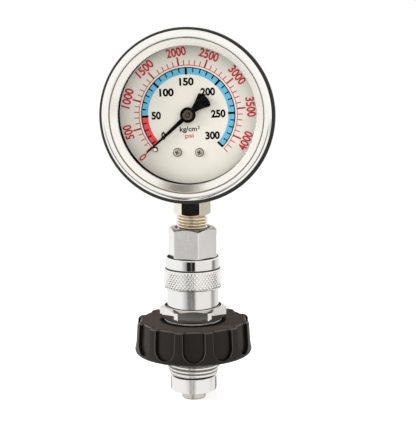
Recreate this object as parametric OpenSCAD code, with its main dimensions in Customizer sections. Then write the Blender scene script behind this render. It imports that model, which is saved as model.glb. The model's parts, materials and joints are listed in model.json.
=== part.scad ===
// Screw-in pressure test gauge for a gas cylinder.
// The gauge faces -Y, the stack stands along Z, and Z = 0 is the lower end of the full valve thread.

/* [Valve thread and nose] */
// Outside diameter of the valve thread
thread_d = 22.911; // [20:0.001:26]
// Length of the full valve thread, up to the grip inside the wheel
thread_len = 9.8; // [8:0.1:14]
// Diameter of the plain lead-in below the thread
lead_d = 20.6; // [19.5:0.1:21]
// Length of the plain lead-in
lead_len = 1.5; // [0.8:0.1:4]
// Gap between the lead-in and the nose head
nose_gap = 0.5; // [0.3:0.1:2]
// Diameter of the nose head
nose_d = 20.2; // [18.6:0.1:20.5]
// Length of the nose head
nose_len = 6.6; // [5:0.1:10]
// Diameter of the nose tip
tip_d = 10.3; // [9:0.1:11]
// Length of the nose tip
tip_len = 3.9; // [3:0.1:8]
// Diameter of the shank that screws into the socket neck
shank_d = 10; // [9:0.1:11]
// Length of that shank
shank_len = 15; // [8:0.5:18]
// Wire diameter of the face seal
face_seal_wire = 2; // [1.5:0.1:2.2]
// Mean diameter of the face seal
face_seal_d = 14.2; // [13.8:0.1:14.8]

/* [Handwheel] */
// Diameter at the lower edge of the wheel
wheel_d = 51.4; // [46:0.1:60]
// Height of the wheel
wheel_h = 14.3; // [12:0.1:20]
// Height of the recess under the wheel
wheel_recess_h = 2.5; // [1:0.1:4]
// Diameter of the recess under the wheel
wheel_recess_d = 35; // [31:0.5:40]
// Draft of the wheel's side over its height
wheel_draft = 1; // [0:0.05:1.4]
// Number of finger flutes
flutes = 12; // [8:1:14]
// Width of one flute
flute_w = 9.3; // [6:0.1:10]
// Depth of a flute at the lower edge
flute_depth = 1.6; // [1:0.1:2.5]
// Wall left under the round end of a flute
flute_land = 1.6; // [1:0.1:3]
// Turn of the flutes about the axis
wheel_turn = 5; // [-15:0.5:15]
// Distance across the corners of the insert's grip
grip_d = 25.6; // [25:0.1:28]
// Diameter of the insert's top flange
flange_d = 27.7; // [27:0.1:31]
// Thickness of the insert's top flange
flange_t = 0.9; // [0.6:0.1:2]

/* [Quick coupling] */
// Diameter of the neck that the wheel turns on
neck_d = 16; // [14:0.1:17]
// Thickness of the thrust washer
washer_t = 0.7; // [0.4:0.1:1.5]
// Outside diameter of the thrust washer
washer_d = 25; // [20:0.5:27]
// Distance across the flats of the large hexagon
socket_hex_af = 26; // [24:0.5:30]
// Diameter of the round blank that the large hexagon is milled on
socket_blank_d = 29; // [26.5:0.1:33]
// Height of the large hexagon
socket_hex_h = 5.8; // [4:0.1:9]
// Turn of the large hexagon about the axis
socket_hex_turn = 5; // [-30:0.5:30]
// Diameter of the smooth skirt above the hexagon
skirt_d = 22.6; // [22:0.1:23]
// Length of skirt that shows below the sleeve
skirt_show = 8.3; // [5:0.1:14]
// Diameter of the knurled band
knurl_d = 25.8; // [25:0.1:28]
// Height of the knurled band
knurl_h = 8.3; // [7:0.1:12]
// Diameter of the sleeve's collar
collar_d = 23.8; // [23.4:0.1:24.6]
// Height of the sleeve's collar
collar_h = 5; // [4.6:0.1:7]
// Diameter of the plug in the socket
plug_d = 16; // [15.6:0.1:16.4]
// Outside diameter of the socket tube
tube_d = 19.8; // [19.4:0.1:20]
// Diameter of a locking ball
ball_d = 2.6; // [2.2:0.1:2.8]
// Number of locking balls
balls = 6; // [4:1:8]
// Travel of the release sleeve
sleeve_travel = 2.8; // [2:0.1:3]
// Wire diameter of the sleeve spring
spring_wire = 0.7; // [0.4:0.05:0.8]
// Turns of the sleeve spring
spring_turns = 4; // [3:0.5:4.5]
// Gap between the collar and the plug's hexagon
plug_gap = 0.75; // [0.4:0.05:2]
// Distance across the flats of the plug's hexagon
plug_hex_af = 19; // [17:0.5:22]
// Height of the plug's hexagon
plug_hex_h = 12.6; // [11:0.1:18]
// Turn of the plug's hexagon about the axis
plug_hex_turn = -11; // [-30:0.5:30]
// Diameter of the plug's sealing spigot
spigot_d = 9.8; // [8.6:0.1:10.4]

/* [Gauge stem] */
// Outside diameter of the stem thread
stem_thread_d = 13.157; // [12:0.001:14]
// Length of stem thread that shows above the plug
stem_thread_show = 5.1; // [2:0.1:8]
// Length of the whole stem thread
stem_thread_len = 13.2; // [11:0.1:14]
// Distance across the flats of the stem hexagon
stem_hex_af = 14; // [13:0.5:17]
// Height of the stem hexagon
stem_hex_h = 10; // [8:0.1:10.5]
// Height of the dial centre above the stem hexagon's lower face
dial_rise = 43.65; // [43.2:0.05:46]
// Diameter of the gas passage
gas_d = 4; // [2:0.1:4.5]

/* [Gauge case] */
// Outside diameter of the case
case_d = 63.2; // [62.6:0.1:64.5]
// Wall of the case
case_wall = 1.4; // [1:0.1:1.6]
// Depth of the case behind the stem axis
case_back = 11; // [10:0.1:16]
// Diameter of the black front flange
rim_d = 73; // [71:0.1:78]
// Thickness of the black front flange
rim_t = 4.5; // [3:0.1:6]
// Distance from the stem axis to the window's front
window_front = 18; // [17.6:0.1:20]
// Thickness of the window
window_t = 2.2; // [1.5:0.1:2.4]
// Thickness of the window seal
window_seal_t = 0.8; // [0.5:0.1:1]
// Outside diameter of the bezel
bezel_d = 69.6; // [69:0.1:70.5]
// Height of the bezel in front of the window
bezel_h = 3.9; // [3.4:0.1:5]
// Diameter of the line between bezel and bevel ring
bevel_d = 63.3; // [62.5:0.1:64]
// Diameter of the window opening
opening_d = 57; // [54:0.1:58]

/* [Dial and movement] */
// Diameter of the dial
dial_d = 57.4; // [57.2:0.1:60]
// Thickness of the dial
dial_t = 0.8; // [0.5:0.1:1]
// Distance from the stem axis to the dial's back
dial_back = 12; // [11.6:0.1:12.2]
// Distance of the dial screws from the middle
dial_screw_x = 4.6; // [3.5:0.1:5]
// Distance of the dial screws below the dial centre
dial_screw_drop = 15.6; // [15.4:0.1:18]
// Length of the pointer from the centre to the tip
pointer_len = 23.6; // [18:0.1:26]
// Length of the pointer's tail
pointer_tail = 10.7; // [6:0.1:13]
// Width of the tail's end
pointer_tail_w = 7; // [3:0.1:8]
// Angle of the pointer at zero, clockwise from the top
pointer_rest = -133.3; // [-140:0.1:-125]
// Distance of the stop pin from the dial centre
stop_pin_r = 19.8; // [16:0.1:22]
// Teeth on the pinion
pinion_teeth = 10; // [10:1:12]
// Turns of the pointer for one turn of the sector
gear_ratio = 8; // [7:1:9]
// Sector pivot to the right of the dial centre
sector_x = 4.5; // [4:0.1:5]
// Sector pivot below the dial centre
sector_drop = 10.5; // [10:0.1:11]
// Travel of the sector
sector_travel = 33.25; // [20:0.25:34]
// Length of the sector's tail
tail_len = 5.83; // [5.4:0.01:6.2]
// Angle of the tail at zero
tail_angle = -25; // [-28:0.5:-20]
// Link's run to the right
link_run = 4.6; // [4:0.1:5]
// Link's rise
link_rise = 6.9; // [6.4:0.1:7.4]
// Mean radius of the pressure tube
bourdon_r = 22; // [21:0.1:24]
// Thickness of the pressure tube across its flat sides
bourdon_t = 3; // [2.4:0.1:3.4]
// Width of the pressure tube
bourdon_w = 10; // [8:0.1:10.5]
// Wall of the pressure tube
bourdon_wall = 0.6; // [0.4:0.05:0.9]
// Angle at which the pressure tube ends
bourdon_end = -20; // [-24:0.5:-18]

/* [Hidden] */
$fn = 64;
// Overlap that carries a cut past a face
cut = 1;
// Running clearance of turned fits, and the looser one of the sleeve
fit = 0.08;
sleeve_fit = 0.1;
// Clearance of screwed joints within one body
screw_fit = 0.02;
// Gap under the thrust washer, and the rubber's gap to what turns in it
washer_gap = 0.05;
rubber_gap = 0.1;
// Gap between pieces that are clamped or rest loosely, and the break on small edges
seat_gap = 0.05;
edge_break = 0.3;

// Heights of the stack, from the nose upwards
lead_cone = (thread_d - lead_d) / 2;
insert_z = -lead_cone - lead_len;
nose_top = insert_z - nose_gap;
nose_bottom = nose_top - nose_len;
tip_bottom = nose_bottom - tip_len;
wheel_z = thread_len - wheel_recess_h;
wheel_top = wheel_z + wheel_h;
socket_hex_z = wheel_top + washer_gap + washer_t;
socket_hex_top = socket_hex_z + socket_hex_h;
sleeve_z = socket_hex_top + skirt_show;
knurl_top = sleeve_z + knurl_h;
collar_top = knurl_top + collar_h;
plug_hex_z = collar_top + plug_gap;
plug_hex_top = plug_hex_z + plug_hex_h;
stem_hex_z = plug_hex_top + stem_thread_show;
stem_end = stem_hex_z - stem_thread_len;
gauge_z = stem_hex_z + dial_rise;

// Inside of the quick coupling
land_lap = 0.95;
land_h = sleeve_travel + land_lap;
land_drop = 1.15;
land_z = knurl_top - land_drop;
land_top = land_z + land_h;
ball_lift = 2;
ball_z = land_z + ball_lift;
ball_r = ball_d / 2;
ball_hole = 6;
ball_out = 0.75;
ball_track = plug_d / 2 + ball_out;
land_r = ball_track + ball_r + seat_gap;
collar_wall = 0.9;
relief_r = collar_d / 2 - collar_wall;
chamber_r = skirt_d / 2 + sleeve_fit;
skirt_lap = 0.9;
skirt_top = sleeve_z + skirt_lap;
ring_t = 1;
ring_z = land_top + seat_gap;
tube_lip = 0.6;
tube_top = ring_z + ring_t + tube_lip;
plug_len = 11.5;
plug_end = plug_hex_z - plug_len;
spigot_len = 6.5;
spigot_end = plug_end - spigot_len;
seal_drop = 4;
seal_z = plug_end - seal_drop;
seal_wire = 1.8;
seal_groove_h = 2;
gas_r = gas_d / 2;
washer_room = 1.5;
stem_bore_floor = stem_end - washer_room;
shank_top = nose_top + shank_len;
ring_depth = 0.7;
ring_seat_r = tube_d / 2 - ring_depth;

// Inside of the nose
filter_r = 3.3;
filter_top = nose_bottom + 0.8;
clip_t = 0.7;
clip_z = tip_bottom + 0.8;
clip_grip = 0.3;
shank_seal_z = nose_top + 2;
shank_seal_wire = 1.4;
shank_groove_h = 1.6;

// Depths of the gauge in its own frame: X right, Y up, Z towards the reader
case_r = case_d / 2;
case_in = case_r - case_wall;
rim_r = rim_d / 2;
ledge = window_front - window_t - window_seal_t;
bezel_wall = 0.9;
crimp_r = bezel_d / 2 - bezel_wall;
pocket_r = bevel_d / 2 + 0.25;
foot_r = pocket_r + 1.1;
foot_t = 0.8;
line_half = 0.2;
rim_step = 2.7;
rim_front = window_front - rim_step;
dial_front = dial_back + dial_t;
tube_mid = -1;
block_w = 14;
block_top = -14;
block_rise = 1.2;
block_bottom = -case_in + block_rise;
block_rear = -6.5;
neck_r = 6.5;
bush_r = 8.2;
bush_stand = 0.8;
fill_hole_r = 4;
dial_hole_r = 2;
dial_screw_r = 0.9;
dial_screw_len = 5;
stop_r = 0.6;
stop_clear = 0.5;

// Movement
rear_plate_z = 1.5;
front_plate_z = 8;
plate_t = 1.2;
sector_z = 5;
sector_t = 1;
link_gap = 0.2;
link_z = sector_z + sector_t + link_gap;
link_t = 0.8;
pin_r = 0.6;
pin_fit = 0.05;
open_fit = 0.35;
arbor_r = 0.7;
sector_arbor_r = 0.75;
gear_distance = norm([sector_x, sector_drop]);
gear_module = 2 * gear_distance / (pinion_teeth * (1 + gear_ratio));
mesh_angle = atan2(sector_drop, -sector_x);
tail_end = [sector_x + tail_len * cos(tail_angle), -sector_drop + tail_len * sin(tail_angle)];
link_end = tail_end + [link_run, link_rise];
pillars = [[-6.5, 3.5], [9.5, 3.5], [-5, -11.5]];
pillar_r = 1.3;
pointer_lift = 1.2;
pointer_z = dial_front + pointer_lift;
pointer_t = 0.6;
boss_r = 2.85;
hub_r = 1.8;
hair_t = 0.18;
hair_end = 4.4;
screw_r = 0.6;
foot_depth = 4.5;
foot_screw_x = 3.8;
foot_screw_len = 4;
tube_start = 255;
tip_angle = 8;
lug_z = sector_z - 2;

// Angle in degrees between an involute's start and the point where its pressure angle is a
function involute(a) = tan(a) * 180 / PI - a;
// Half the angle of a tooth at radius r, for a gear of n teeth and pitch radius p, thinned for backlash
function tooth_half(r, n, p) =
    let (pressure = 20, base = p * cos(pressure), thin = 0.82)
    90 / n * thin + involute(pressure) - involute(r > base ? acos(base / r) : 0);
// Outline of one tooth about direction a, from its root up one flank and down the other
function tooth(a, n, p, root, tip) =
    let (radii = [root, (root + p) / 2, p, (p + tip) / 2, tip])
    concat(
        [for (r = radii) let (h = tooth_half(r, n, p)) r * [cos(a - h), sin(a - h)]],
        [for (i = [len(radii) - 1:-1:0]) let (r = radii[i], h = tooth_half(r, n, p))
            r * [cos(a + h), sin(a + h)]]);
// Points of an arc about c
function arc(c, r, from, to, steps) =
    [for (i = [0:steps]) let (a = from + (to - from) * i / steps) c + r * [cos(a), sin(a)]];

// Places its children in the gauge's own frame
module in_gauge() {
    translate([0, 0, gauge_z]) rotate([90, 0, 0]) children();
}

// Ring of rectangular section
module ring(outer, inner, h) {
    difference() {
        cylinder(r = outer, h = h);
        translate([0, 0, -cut]) cylinder(r = inner, h = h + 2 * cut);
    }
}

// Round seal of mean radius r
module oring(r, wire) {
    rotate_extrude() translate([r, 0]) circle(d = wire);
}

// Hexagon across its flats, with both ends chamfered from radius lip
module hexagon(af, h, lip, slope, blank) {
    corner = blank / 2;
    drop = (corner - lip) * tan(slope);
    intersection() {
        cylinder(d = af / cos(30), h = h, $fn = 6);
        rotate_extrude() polygon([[0, 0], [lip, 0], [corner, drop], [corner, h - drop], [lip, h], [0, h]]);
    }
}

// Flat bar with round ends between two points
module bar(a, b, w, h) {
    d = b - a;
    linear_extrude(h) {
        translate(a) rotate(atan2(d[1], d[0])) translate([0, -w / 2]) square([norm(d), w]);
        translate(a) circle(d = w);
        translate(b) circle(d = w);
    }
}

// Black cup with its front flange, open for the stem and the plug
module case() {
    rise = 1.2;
    round_r = 2;
    front = rim_front - rim_t;
    color([0.09, 0.09, 0.09]) in_gauge() difference() {
        rotate_extrude($fn = 128) polygon(concat(
            [[0, -case_back]],
            arc([case_r - round_r, -case_back + round_r], round_r, -90, 0, 5),
            [[case_r, front - rise], [case_r + rise, front], [rim_r - 0.6, front], [rim_r, front + 0.6],
             [rim_r, rim_front - 0.6], [rim_r - 0.6, rim_front], [crimp_r, rim_front],
             [crimp_r, window_front], [pocket_r, window_front], [pocket_r, ledge], [case_in, ledge],
             [case_in, -case_back + case_wall + round_r], [case_in - round_r, -case_back + case_wall],
             [0, -case_back + case_wall]]));
        rotate([90, 0, 0]) cylinder(r = bush_r, h = case_d);
        rotate([-90, 0, 0]) cylinder(r = fill_hole_r, h = case_d);
    }
}

// Stainless ring crimped over the case rim
module bezel() {
    outer = bezel_d / 2;
    crest = window_front + bezel_h;
    nose = 1.9;
    inner = bevel_d / 2 + line_half;
    low = window_front + seat_gap;
    step = low + foot_t;
    color([0.8, 0.79, 0.77]) in_gauge() rotate_extrude($fn = 128) polygon(concat(
        [[outer, rim_front + seat_gap]],
        arc([outer - nose, crest - nose], nose, 0, 90, 6),
        [[inner + 0.4, crest - 0.15], [inner, crest - 0.5], [inner, step], [foot_r + seat_gap, step],
         [foot_r + seat_gap, low], [crimp_r + seat_gap, low], [crimp_r + seat_gap, rim_front + seat_gap]]));
}

// Sloped ring between bezel and window, with a foot under the bezel
module bevel_ring() {
    inner = opening_d / 2;
    outer = bevel_d / 2 - line_half;
    crest = window_front + bezel_h - 0.9;
    color([0.82, 0.81, 0.79]) in_gauge() rotate_extrude($fn = 128) polygon([
        [inner, window_front], [foot_r, window_front], [foot_r, window_front + foot_t],
        [outer, window_front + foot_t], [outer, crest - 0.2], [outer - 0.35, crest],
        [inner + 0.2, window_front + 0.9], [inner, window_front + 0.65]]);
}

// Clear disc
module window() {
    color([0.9, 0.95, 0.97, 0.3]) in_gauge() translate([0, 0, window_front - window_t])
        cylinder(r = pocket_r, h = window_t, $fn = 128);
}

// Flat rubber ring behind the window
module window_seal() {
    color([0.1, 0.1, 0.1]) in_gauge() translate([0, 0, ledge])
        ring(pocket_r, case_in, window_seal_t, $fn = 128);
}

// Pale disc, with holes for the pointer arbor, its screws and the stop pin
module dial() {
    color([0.93, 0.92, 0.88]) in_gauge() translate([0, 0, dial_back]) difference() {
        cylinder(d = dial_d, h = dial_t, $fn = 128);
        translate([0, 0, -cut]) {
            cylinder(r = dial_hole_r, h = dial_t + 2 * cut);
            at_dial_screws() cylinder(r = dial_screw_r, h = dial_t + 2 * cut);
            at_stop_pin() cylinder(r = stop_r, h = dial_t + 2 * cut);
        }
    }
}

// Places its children at the two dial screws
module at_dial_screws() {
    for (side = [-1, 1]) translate([side * dial_screw_x, -dial_screw_drop, 0]) children();
}

// Places its children at the stop pin, beside the resting pointer
module at_stop_pin() {
    aside = asin((stop_r + stop_clear) / stop_pin_r);
    rotate([0, 0, 90 - pointer_rest + aside]) translate([stop_pin_r, 0, 0]) children();
}

// Two pan-head screws into the stem block
module dial_screws() {
    head_r = 1.65;
    head_h = 0.9;
    slot_w = 0.4;
    color([0.75, 0.74, 0.7]) in_gauge() at_dial_screws() difference() {
        union() {
            translate([0, 0, dial_front]) cylinder(r1 = head_r, r2 = head_r - 0.35, h = head_h);
            translate([0, 0, dial_front - dial_screw_len]) cylinder(r = dial_screw_r, h = dial_screw_len);
        }
        translate([-head_r - cut, -slot_w / 2, dial_front + head_h / 2])
            cube([2 * (head_r + cut), slot_w, head_h]);
    }
}

// Pin that the pointer rests on at zero
module stop_pin() {
    rise = 2;
    color([0.85, 0.84, 0.8]) in_gauge() at_stop_pin() translate([0, 0, dial_back]) union() {
        cylinder(r = stop_r, h = dial_t + rise - edge_break);
        translate([0, 0, dial_t + rise - edge_break])
            cylinder(r1 = stop_r, r2 = stop_r - edge_break, h = edge_break);
    }
}

// Black needle with a flared tail and a boss
module pointer() {
    root_w = 1.9;
    point_w = 0.5;
    waist_w = 2.1;
    color([0.04, 0.04, 0.04]) in_gauge() rotate([0, 0, 90 - pointer_rest]) difference() {
        union() {
            translate([0, 0, pointer_z]) linear_extrude(pointer_t) {
                polygon([[0, -root_w / 2], [pointer_len - point_w, -point_w / 2], [pointer_len, 0],
                    [pointer_len - point_w, point_w / 2], [0, root_w / 2]]);
                intersection() {
                    polygon([[0, waist_w / 2], [-pointer_tail - cut, pointer_tail_w / 2],
                        [-pointer_tail - cut, -pointer_tail_w / 2], [0, -waist_w / 2]]);
                    circle(r = pointer_tail);
                }
            }
            translate([0, 0, pointer_z - 0.4]) cylinder(r = boss_r, h = pointer_t + 0.8);
        }
        translate([0, 0, pointer_z - cut]) cylinder(r = hub_r, h = pointer_t + 2 * cut);
    }
}

// Dull brass bush between the pointer and its arbor
module pointer_hub() {
    color([0.5, 0.45, 0.33]) in_gauge() translate([0, 0, pointer_z - 0.6])
        ring(hub_r, arbor_r, pointer_t + 1.1);
}

// Pinion and pointer arbor, turned in one
module pinion_arbor() {
    p = gear_module * pinion_teeth / 2;
    root = p - gear_module;
    tip = p + 0.8 * gear_module;
    long = 2.2;
    turn = 180 + 180 / pinion_teeth;
    color([0.72, 0.58, 0.28]) in_gauge() {
        translate([0, 0, rear_plate_z + 0.1]) cylinder(r = arbor_r, h = pointer_z + 0.9 - rear_plate_z);
        translate([0, 0, sector_z - (long - sector_t) / 2]) linear_extrude(long)
            polygon([for (i = [0:pinion_teeth - 1])
                each tooth(mesh_angle + turn + i * 360 / pinion_teeth, pinion_teeth, p, root, tip)]);
    }
}

// Flat spiral spring from the arbor to the stud on the front plate
module hairspring() {
    inner = arbor_r + hair_t / 2 + screw_fit;
    turns = 4;
    steps = 96;
    spiral = function (i, side)
        let (a = 360 * turns * i / steps, r = inner + (hair_end - inner) * i / steps + side * hair_t / 2)
        r * [cos(a), sin(a)];
    color([0.7, 0.55, 0.3]) in_gauge() translate([0, 0, front_plate_z - 1.1]) linear_extrude(0.8)
        polygon(concat([for (i = [0:steps]) spiral(i, 1)], [for (i = [steps:-1:0]) spiral(i, -1)]));
}

// Toothed sector with its tail
module sector_gear() {
    n = pinion_teeth * gear_ratio;
    p = gear_module * n / 2;
    root = p - 1.1 * gear_module;
    tip = p + 0.6 * gear_module;
    step = 360 / n;
    teeth_ahead = 2;
    teeth_behind = ceil(sector_travel / step) + 2;
    hub = 1.6;
    rim = 2;
    spoke = 1.1;
    from = mesh_angle - (teeth_behind + 0.5) * step;
    to = mesh_angle + (teeth_ahead + 0.5) * step;
    color([0.72, 0.58, 0.28]) in_gauge() translate([sector_x, -sector_drop, sector_z]) difference() {
        linear_extrude(sector_t) {
            polygon(concat([[0, 0]],
                [for (i = [-teeth_behind:teeth_ahead])
                    each tooth(mesh_angle + i * step, n, p, root, tip)]));
            circle(r = hub);
            rotate(tail_angle) translate([0, -1]) square([tail_len, 2]);
            rotate(tail_angle) translate([tail_len, 0]) circle(r = 1.5);
        }
        translate([0, 0, -cut]) {
            cylinder(r = sector_arbor_r, h = sector_t + 2 * cut);
            rotate([0, 0, tail_angle]) translate([tail_len, 0, 0])
                cylinder(r = pin_r, h = sector_t + 2 * cut);
            linear_extrude(sector_t + 2 * cut) polygon(concat(
                arc([0, 0], root - rim, from + spoke * step, to - spoke * step, 8),
                arc([0, 0], hub + 1.4, to - 2.5 * spoke * step, from + 2.5 * spoke * step, 4)));
        }
    }
}

// Arbor of the sector, between the two plates
module sector_arbor() {
    color([0.75, 0.74, 0.7]) in_gauge() translate([sector_x, -sector_drop, rear_plate_z + 0.1])
        cylinder(r = sector_arbor_r, h = front_plate_z + plate_t - rear_plate_z - 0.2);
}

// Outline of both movement plates, with the arbor holes
module plate_shape() {
    edge = 2.2;
    half = block_w / 2 - 0.2;
    left = pillars[0];
    right = pillars[1] + [edge, 0];
    foot = pillars[2] - [edge, 0];
    difference() {
        union() {
            polygon([left + [0, edge], pillars[1] + [0, edge], right, right - [0, 2], [half, block_top + 4],
                [half, block_top], [-half, block_top], foot, left - [edge, 0]]);
            for (p = pillars) translate(p) circle(r = edge);
        }
        circle(r = arbor_r + fit);
        translate([sector_x, -sector_drop]) circle(r = sector_arbor_r + fit);
        for (p = pillars) translate(p) circle(r = screw_r);
        translate([-block_w, block_top - block_w]) square([2 * block_w, block_w]);
    }
}

// Rear plate, with a foot on the stem block
module movement_rear_plate() {
    color([0.72, 0.6, 0.32]) in_gauge() difference() {
        union() {
            translate([0, 0, rear_plate_z]) linear_extrude(plate_t) plate_shape();
            translate([-block_w / 2 + 0.4, block_top, rear_plate_z - foot_depth])
                cube([block_w - 0.8, plate_t, foot_depth]);
        }
        at_foot_screws() translate([0, 0, -cut]) cylinder(r = screw_r, h = plate_t + 2 * cut);
    }
}

// Front plate, with a stud for the hairspring's outer end
module movement_front_plate() {
    stud_r = 0.5;
    color([0.72, 0.6, 0.32]) in_gauge() {
        translate([0, 0, front_plate_z]) linear_extrude(plate_t) plate_shape();
        translate([hair_end + hair_t / 2 + stud_r + screw_fit, 0, front_plate_z - 1.3])
            cylinder(r = stud_r, h = 1.8);
    }
}

// Places its children on the foot of the rear plate, pointing up
module at_foot_screws() {
    for (side = [-1, 1])
        translate([side * foot_screw_x, block_top, rear_plate_z - foot_depth / 2])
            rotate([-90, 0, 0]) children();
}

// Spacers between the plates, drilled for their screws
module movement_pillars() {
    color([0.72, 0.6, 0.32]) in_gauge() for (p = pillars)
        translate([p[0], p[1], rear_plate_z + plate_t])
            ring(pillar_r, screw_r, front_plate_z - rear_plate_z - plate_t);
}

// Screws through the plates and pillars, and through the foot into the block
module movement_screws() {
    head_r = 1.2;
    head_h = 0.8;
    color([0.75, 0.74, 0.7]) in_gauge() {
        for (p = pillars) translate([p[0], p[1], 0]) {
            translate([0, 0, rear_plate_z])
                cylinder(r = screw_r, h = front_plate_z + plate_t - rear_plate_z);
            translate([0, 0, front_plate_z + plate_t]) cylinder(r = head_r, h = head_h);
        }
        at_foot_screws() {
            translate([0, 0, plate_t - foot_screw_len]) cylinder(r = screw_r, h = foot_screw_len);
            translate([0, 0, plate_t]) cylinder(r = head_r, h = head_h);
        }
    }
}

// Link from the sector's tail to the tube's tip
module link() {
    color([0.75, 0.74, 0.7]) in_gauge() translate([0, 0, link_z]) difference() {
        union() {
            bar(tail_end, link_end, 1.8, link_t);
            translate(tail_end) cylinder(r = 1.4, h = link_t);
            translate(link_end) cylinder(r = 1.8, h = link_t);
        }
        translate([tail_end[0], tail_end[1], -cut]) cylinder(r = pin_r + pin_fit, h = link_t + 2 * cut);
        translate([link_end[0], link_end[1], -cut]) cylinder(r = pin_r + open_fit, h = link_t + 2 * cut);
    }
}

// Pin with a head, from depth from up through the link
module headed_pin(from) {
    head_r = 1.2;
    translate([0, 0, from]) cylinder(r = pin_r, h = link_z + link_t + 0.1 - from);
    translate([0, 0, link_z + link_t + 0.1]) cylinder(r = head_r, h = 0.4);
}

// Pin in the sector's tail
module link_pin() {
    color([0.75, 0.74, 0.7]) in_gauge() translate(tail_end) headed_pin(sector_z);
}

// Pin in the tip's lug
module tip_pin() {
    color([0.75, 0.74, 0.7]) in_gauge() translate(link_end) headed_pin(lug_z);
}

// Flat-sided oval of the pressure tube, at its mean radius, grown by g
module tube_section(g) {
    t = bourdon_t + 2 * g;
    straight = bourdon_w - bourdon_t;
    translate([bourdon_r, tube_mid]) {
        translate([-t / 2, -straight / 2]) square([t, straight]);
        for (side = [-1, 1]) translate([0, side * straight / 2]) circle(d = t);
    }
}

// Curved pressure tube from the stem block over the top to its tip
module bourdon_tube() {
    color([0.78, 0.55, 0.3]) in_gauge() rotate([0, 0, bourdon_end])
        rotate_extrude(angle = tube_start - bourdon_end, $fn = 96) difference() {
            tube_section(0);
            tube_section(-bourdon_wall);
        }
}

// Solid end of the tube, with a lug for the link
module tube_tip() {
    lug_t = link_z - link_gap - lug_z;
    seat = bourdon_r * [cos(bourdon_end - tip_angle / 2), sin(bourdon_end - tip_angle / 2)];
    color([0.72, 0.58, 0.28]) in_gauge() difference() {
        union() {
            rotate([0, 0, bourdon_end - tip_angle])
                rotate_extrude(angle = tip_angle, $fn = 96) tube_section(0);
            translate([0, 0, lug_z]) bar(link_end, seat, 2.6, lug_t);
        }
        translate([link_end[0], link_end[1], lug_z - cut]) cylinder(r = pin_r, h = lug_t + 2 * cut);
    }
}

// Nickelled stem: thread, hexagon, neck and the block that carries tube, movement and dial
module gauge_stem() {
    thread_r = stem_thread_d / 2;
    chamfer = 1;
    corner = stem_hex_af / cos(30);
    passage = 3;
    cross = 1.8;
    color([0.75, 0.69, 0.55]) difference() {
        union() {
            rotate_extrude() polygon([[0, stem_end], [thread_r - chamfer, stem_end],
                [thread_r, stem_end + chamfer], [thread_r, stem_hex_z], [0, stem_hex_z]]);
            translate([0, 0, stem_hex_z])
                hexagon(stem_hex_af, stem_hex_h, stem_hex_af / 2 - edge_break, 30, corner);
            translate([0, 0, stem_hex_z + stem_hex_h - cut])
                cylinder(r = neck_r, h = gauge_z + block_bottom - stem_hex_z - stem_hex_h + 2 * cut);
            in_gauge() translate([-block_w / 2, block_bottom, block_rear])
                cube([block_w, block_top - block_bottom, dial_back - block_rear]);
        }
        translate([0, 0, stem_end - cut])
            cylinder(d = passage, h = gauge_z - bourdon_r + passage - stem_end + cut);
        in_gauge() {
            rotate([0, 0, tube_start - 60]) rotate_extrude(angle = 60, $fn = 96) tube_section(0);
            translate([-2 * bourdon_t, -bourdon_r + 0.6, 0]) rotate([0, 90, 0])
                cylinder(d = cross, h = 2 * bourdon_t + cross / 3);
            at_dial_screws() translate([0, 0, dial_front - dial_screw_len])
                cylinder(r = dial_screw_r, h = dial_screw_len);
            at_foot_screws() translate([0, 0, plate_t - foot_screw_len])
                cylinder(r = screw_r, h = foot_screw_len - plate_t + cut);
        }
    }
}

// Rubber bush that seals and holds the stem in the case
module stem_bush() {
    out = case_r + bush_stand;
    color([0.1, 0.1, 0.1]) translate([0, 0, gauge_z - out]) ring(bush_r, neck_r, out + block_bottom);
}

// Rubber filling plug at the top of the case
module fill_plug() {
    head_r = fill_hole_r + 1.6;
    head_h = 2;
    color([0.1, 0.1, 0.1]) in_gauge() rotate([-90, 0, 0]) union() {
        translate([0, 0, case_in - 0.8]) cylinder(r = fill_hole_r, h = case_wall + 1.2);
        difference() {
            translate([0, 0, case_in]) cylinder(r = head_r, h = case_wall + head_h);
            rotate([90, 0, 0]) translate([0, 0, -head_r - cut])
                cylinder(r = case_r, h = 2 * (head_r + cut), $fn = 128);
        }
    }
}

// Hexagon that takes the stem, with the plug and spigot below
module plug_adapter() {
    corner = plug_hex_af / cos(30);
    mouth = 0.8;
    bore_r = stem_thread_d / 2 + screw_fit;
    lead = 0.6;
    plug_r = plug_d / 2;
    spigot_r = spigot_d / 2;
    color([0.8, 0.8, 0.81]) difference() {
        union() {
            rotate([0, 0, plug_hex_turn]) translate([0, 0, plug_hex_z])
                hexagon(plug_hex_af, plug_hex_h, plug_hex_af / 2 - 0.2, 30, corner);
            rotate_extrude() polygon([[0, spigot_end], [spigot_r - lead, spigot_end],
                [spigot_r, spigot_end + lead], [spigot_r, plug_end], [plug_r - lead, plug_end],
                [plug_r, plug_end + lead], [plug_r, plug_hex_z + cut], [0, plug_hex_z + cut]]);
        }
        translate([0, 0, stem_bore_floor]) cylinder(r = bore_r, h = plug_hex_top - stem_bore_floor + cut);
        translate([0, 0, plug_hex_top - mouth])
            cylinder(r1 = bore_r, r2 = bore_r + 2 * mouth, h = 2 * mouth);
        translate([0, 0, spigot_end - cut]) cylinder(r = gas_r, h = stem_bore_floor - spigot_end + 2 * cut);
        rotate_extrude() translate([ball_track, ball_z]) circle(r = ball_r + seat_gap);
    }
}

// Soft metal washer under the stem
module adapter_washer() {
    color([0.7, 0.4, 0.25]) translate([0, 0, stem_bore_floor])
        ring(stem_thread_d / 2 - 0.3, gas_r + 0.4, stem_end - stem_bore_floor);
}

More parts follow.
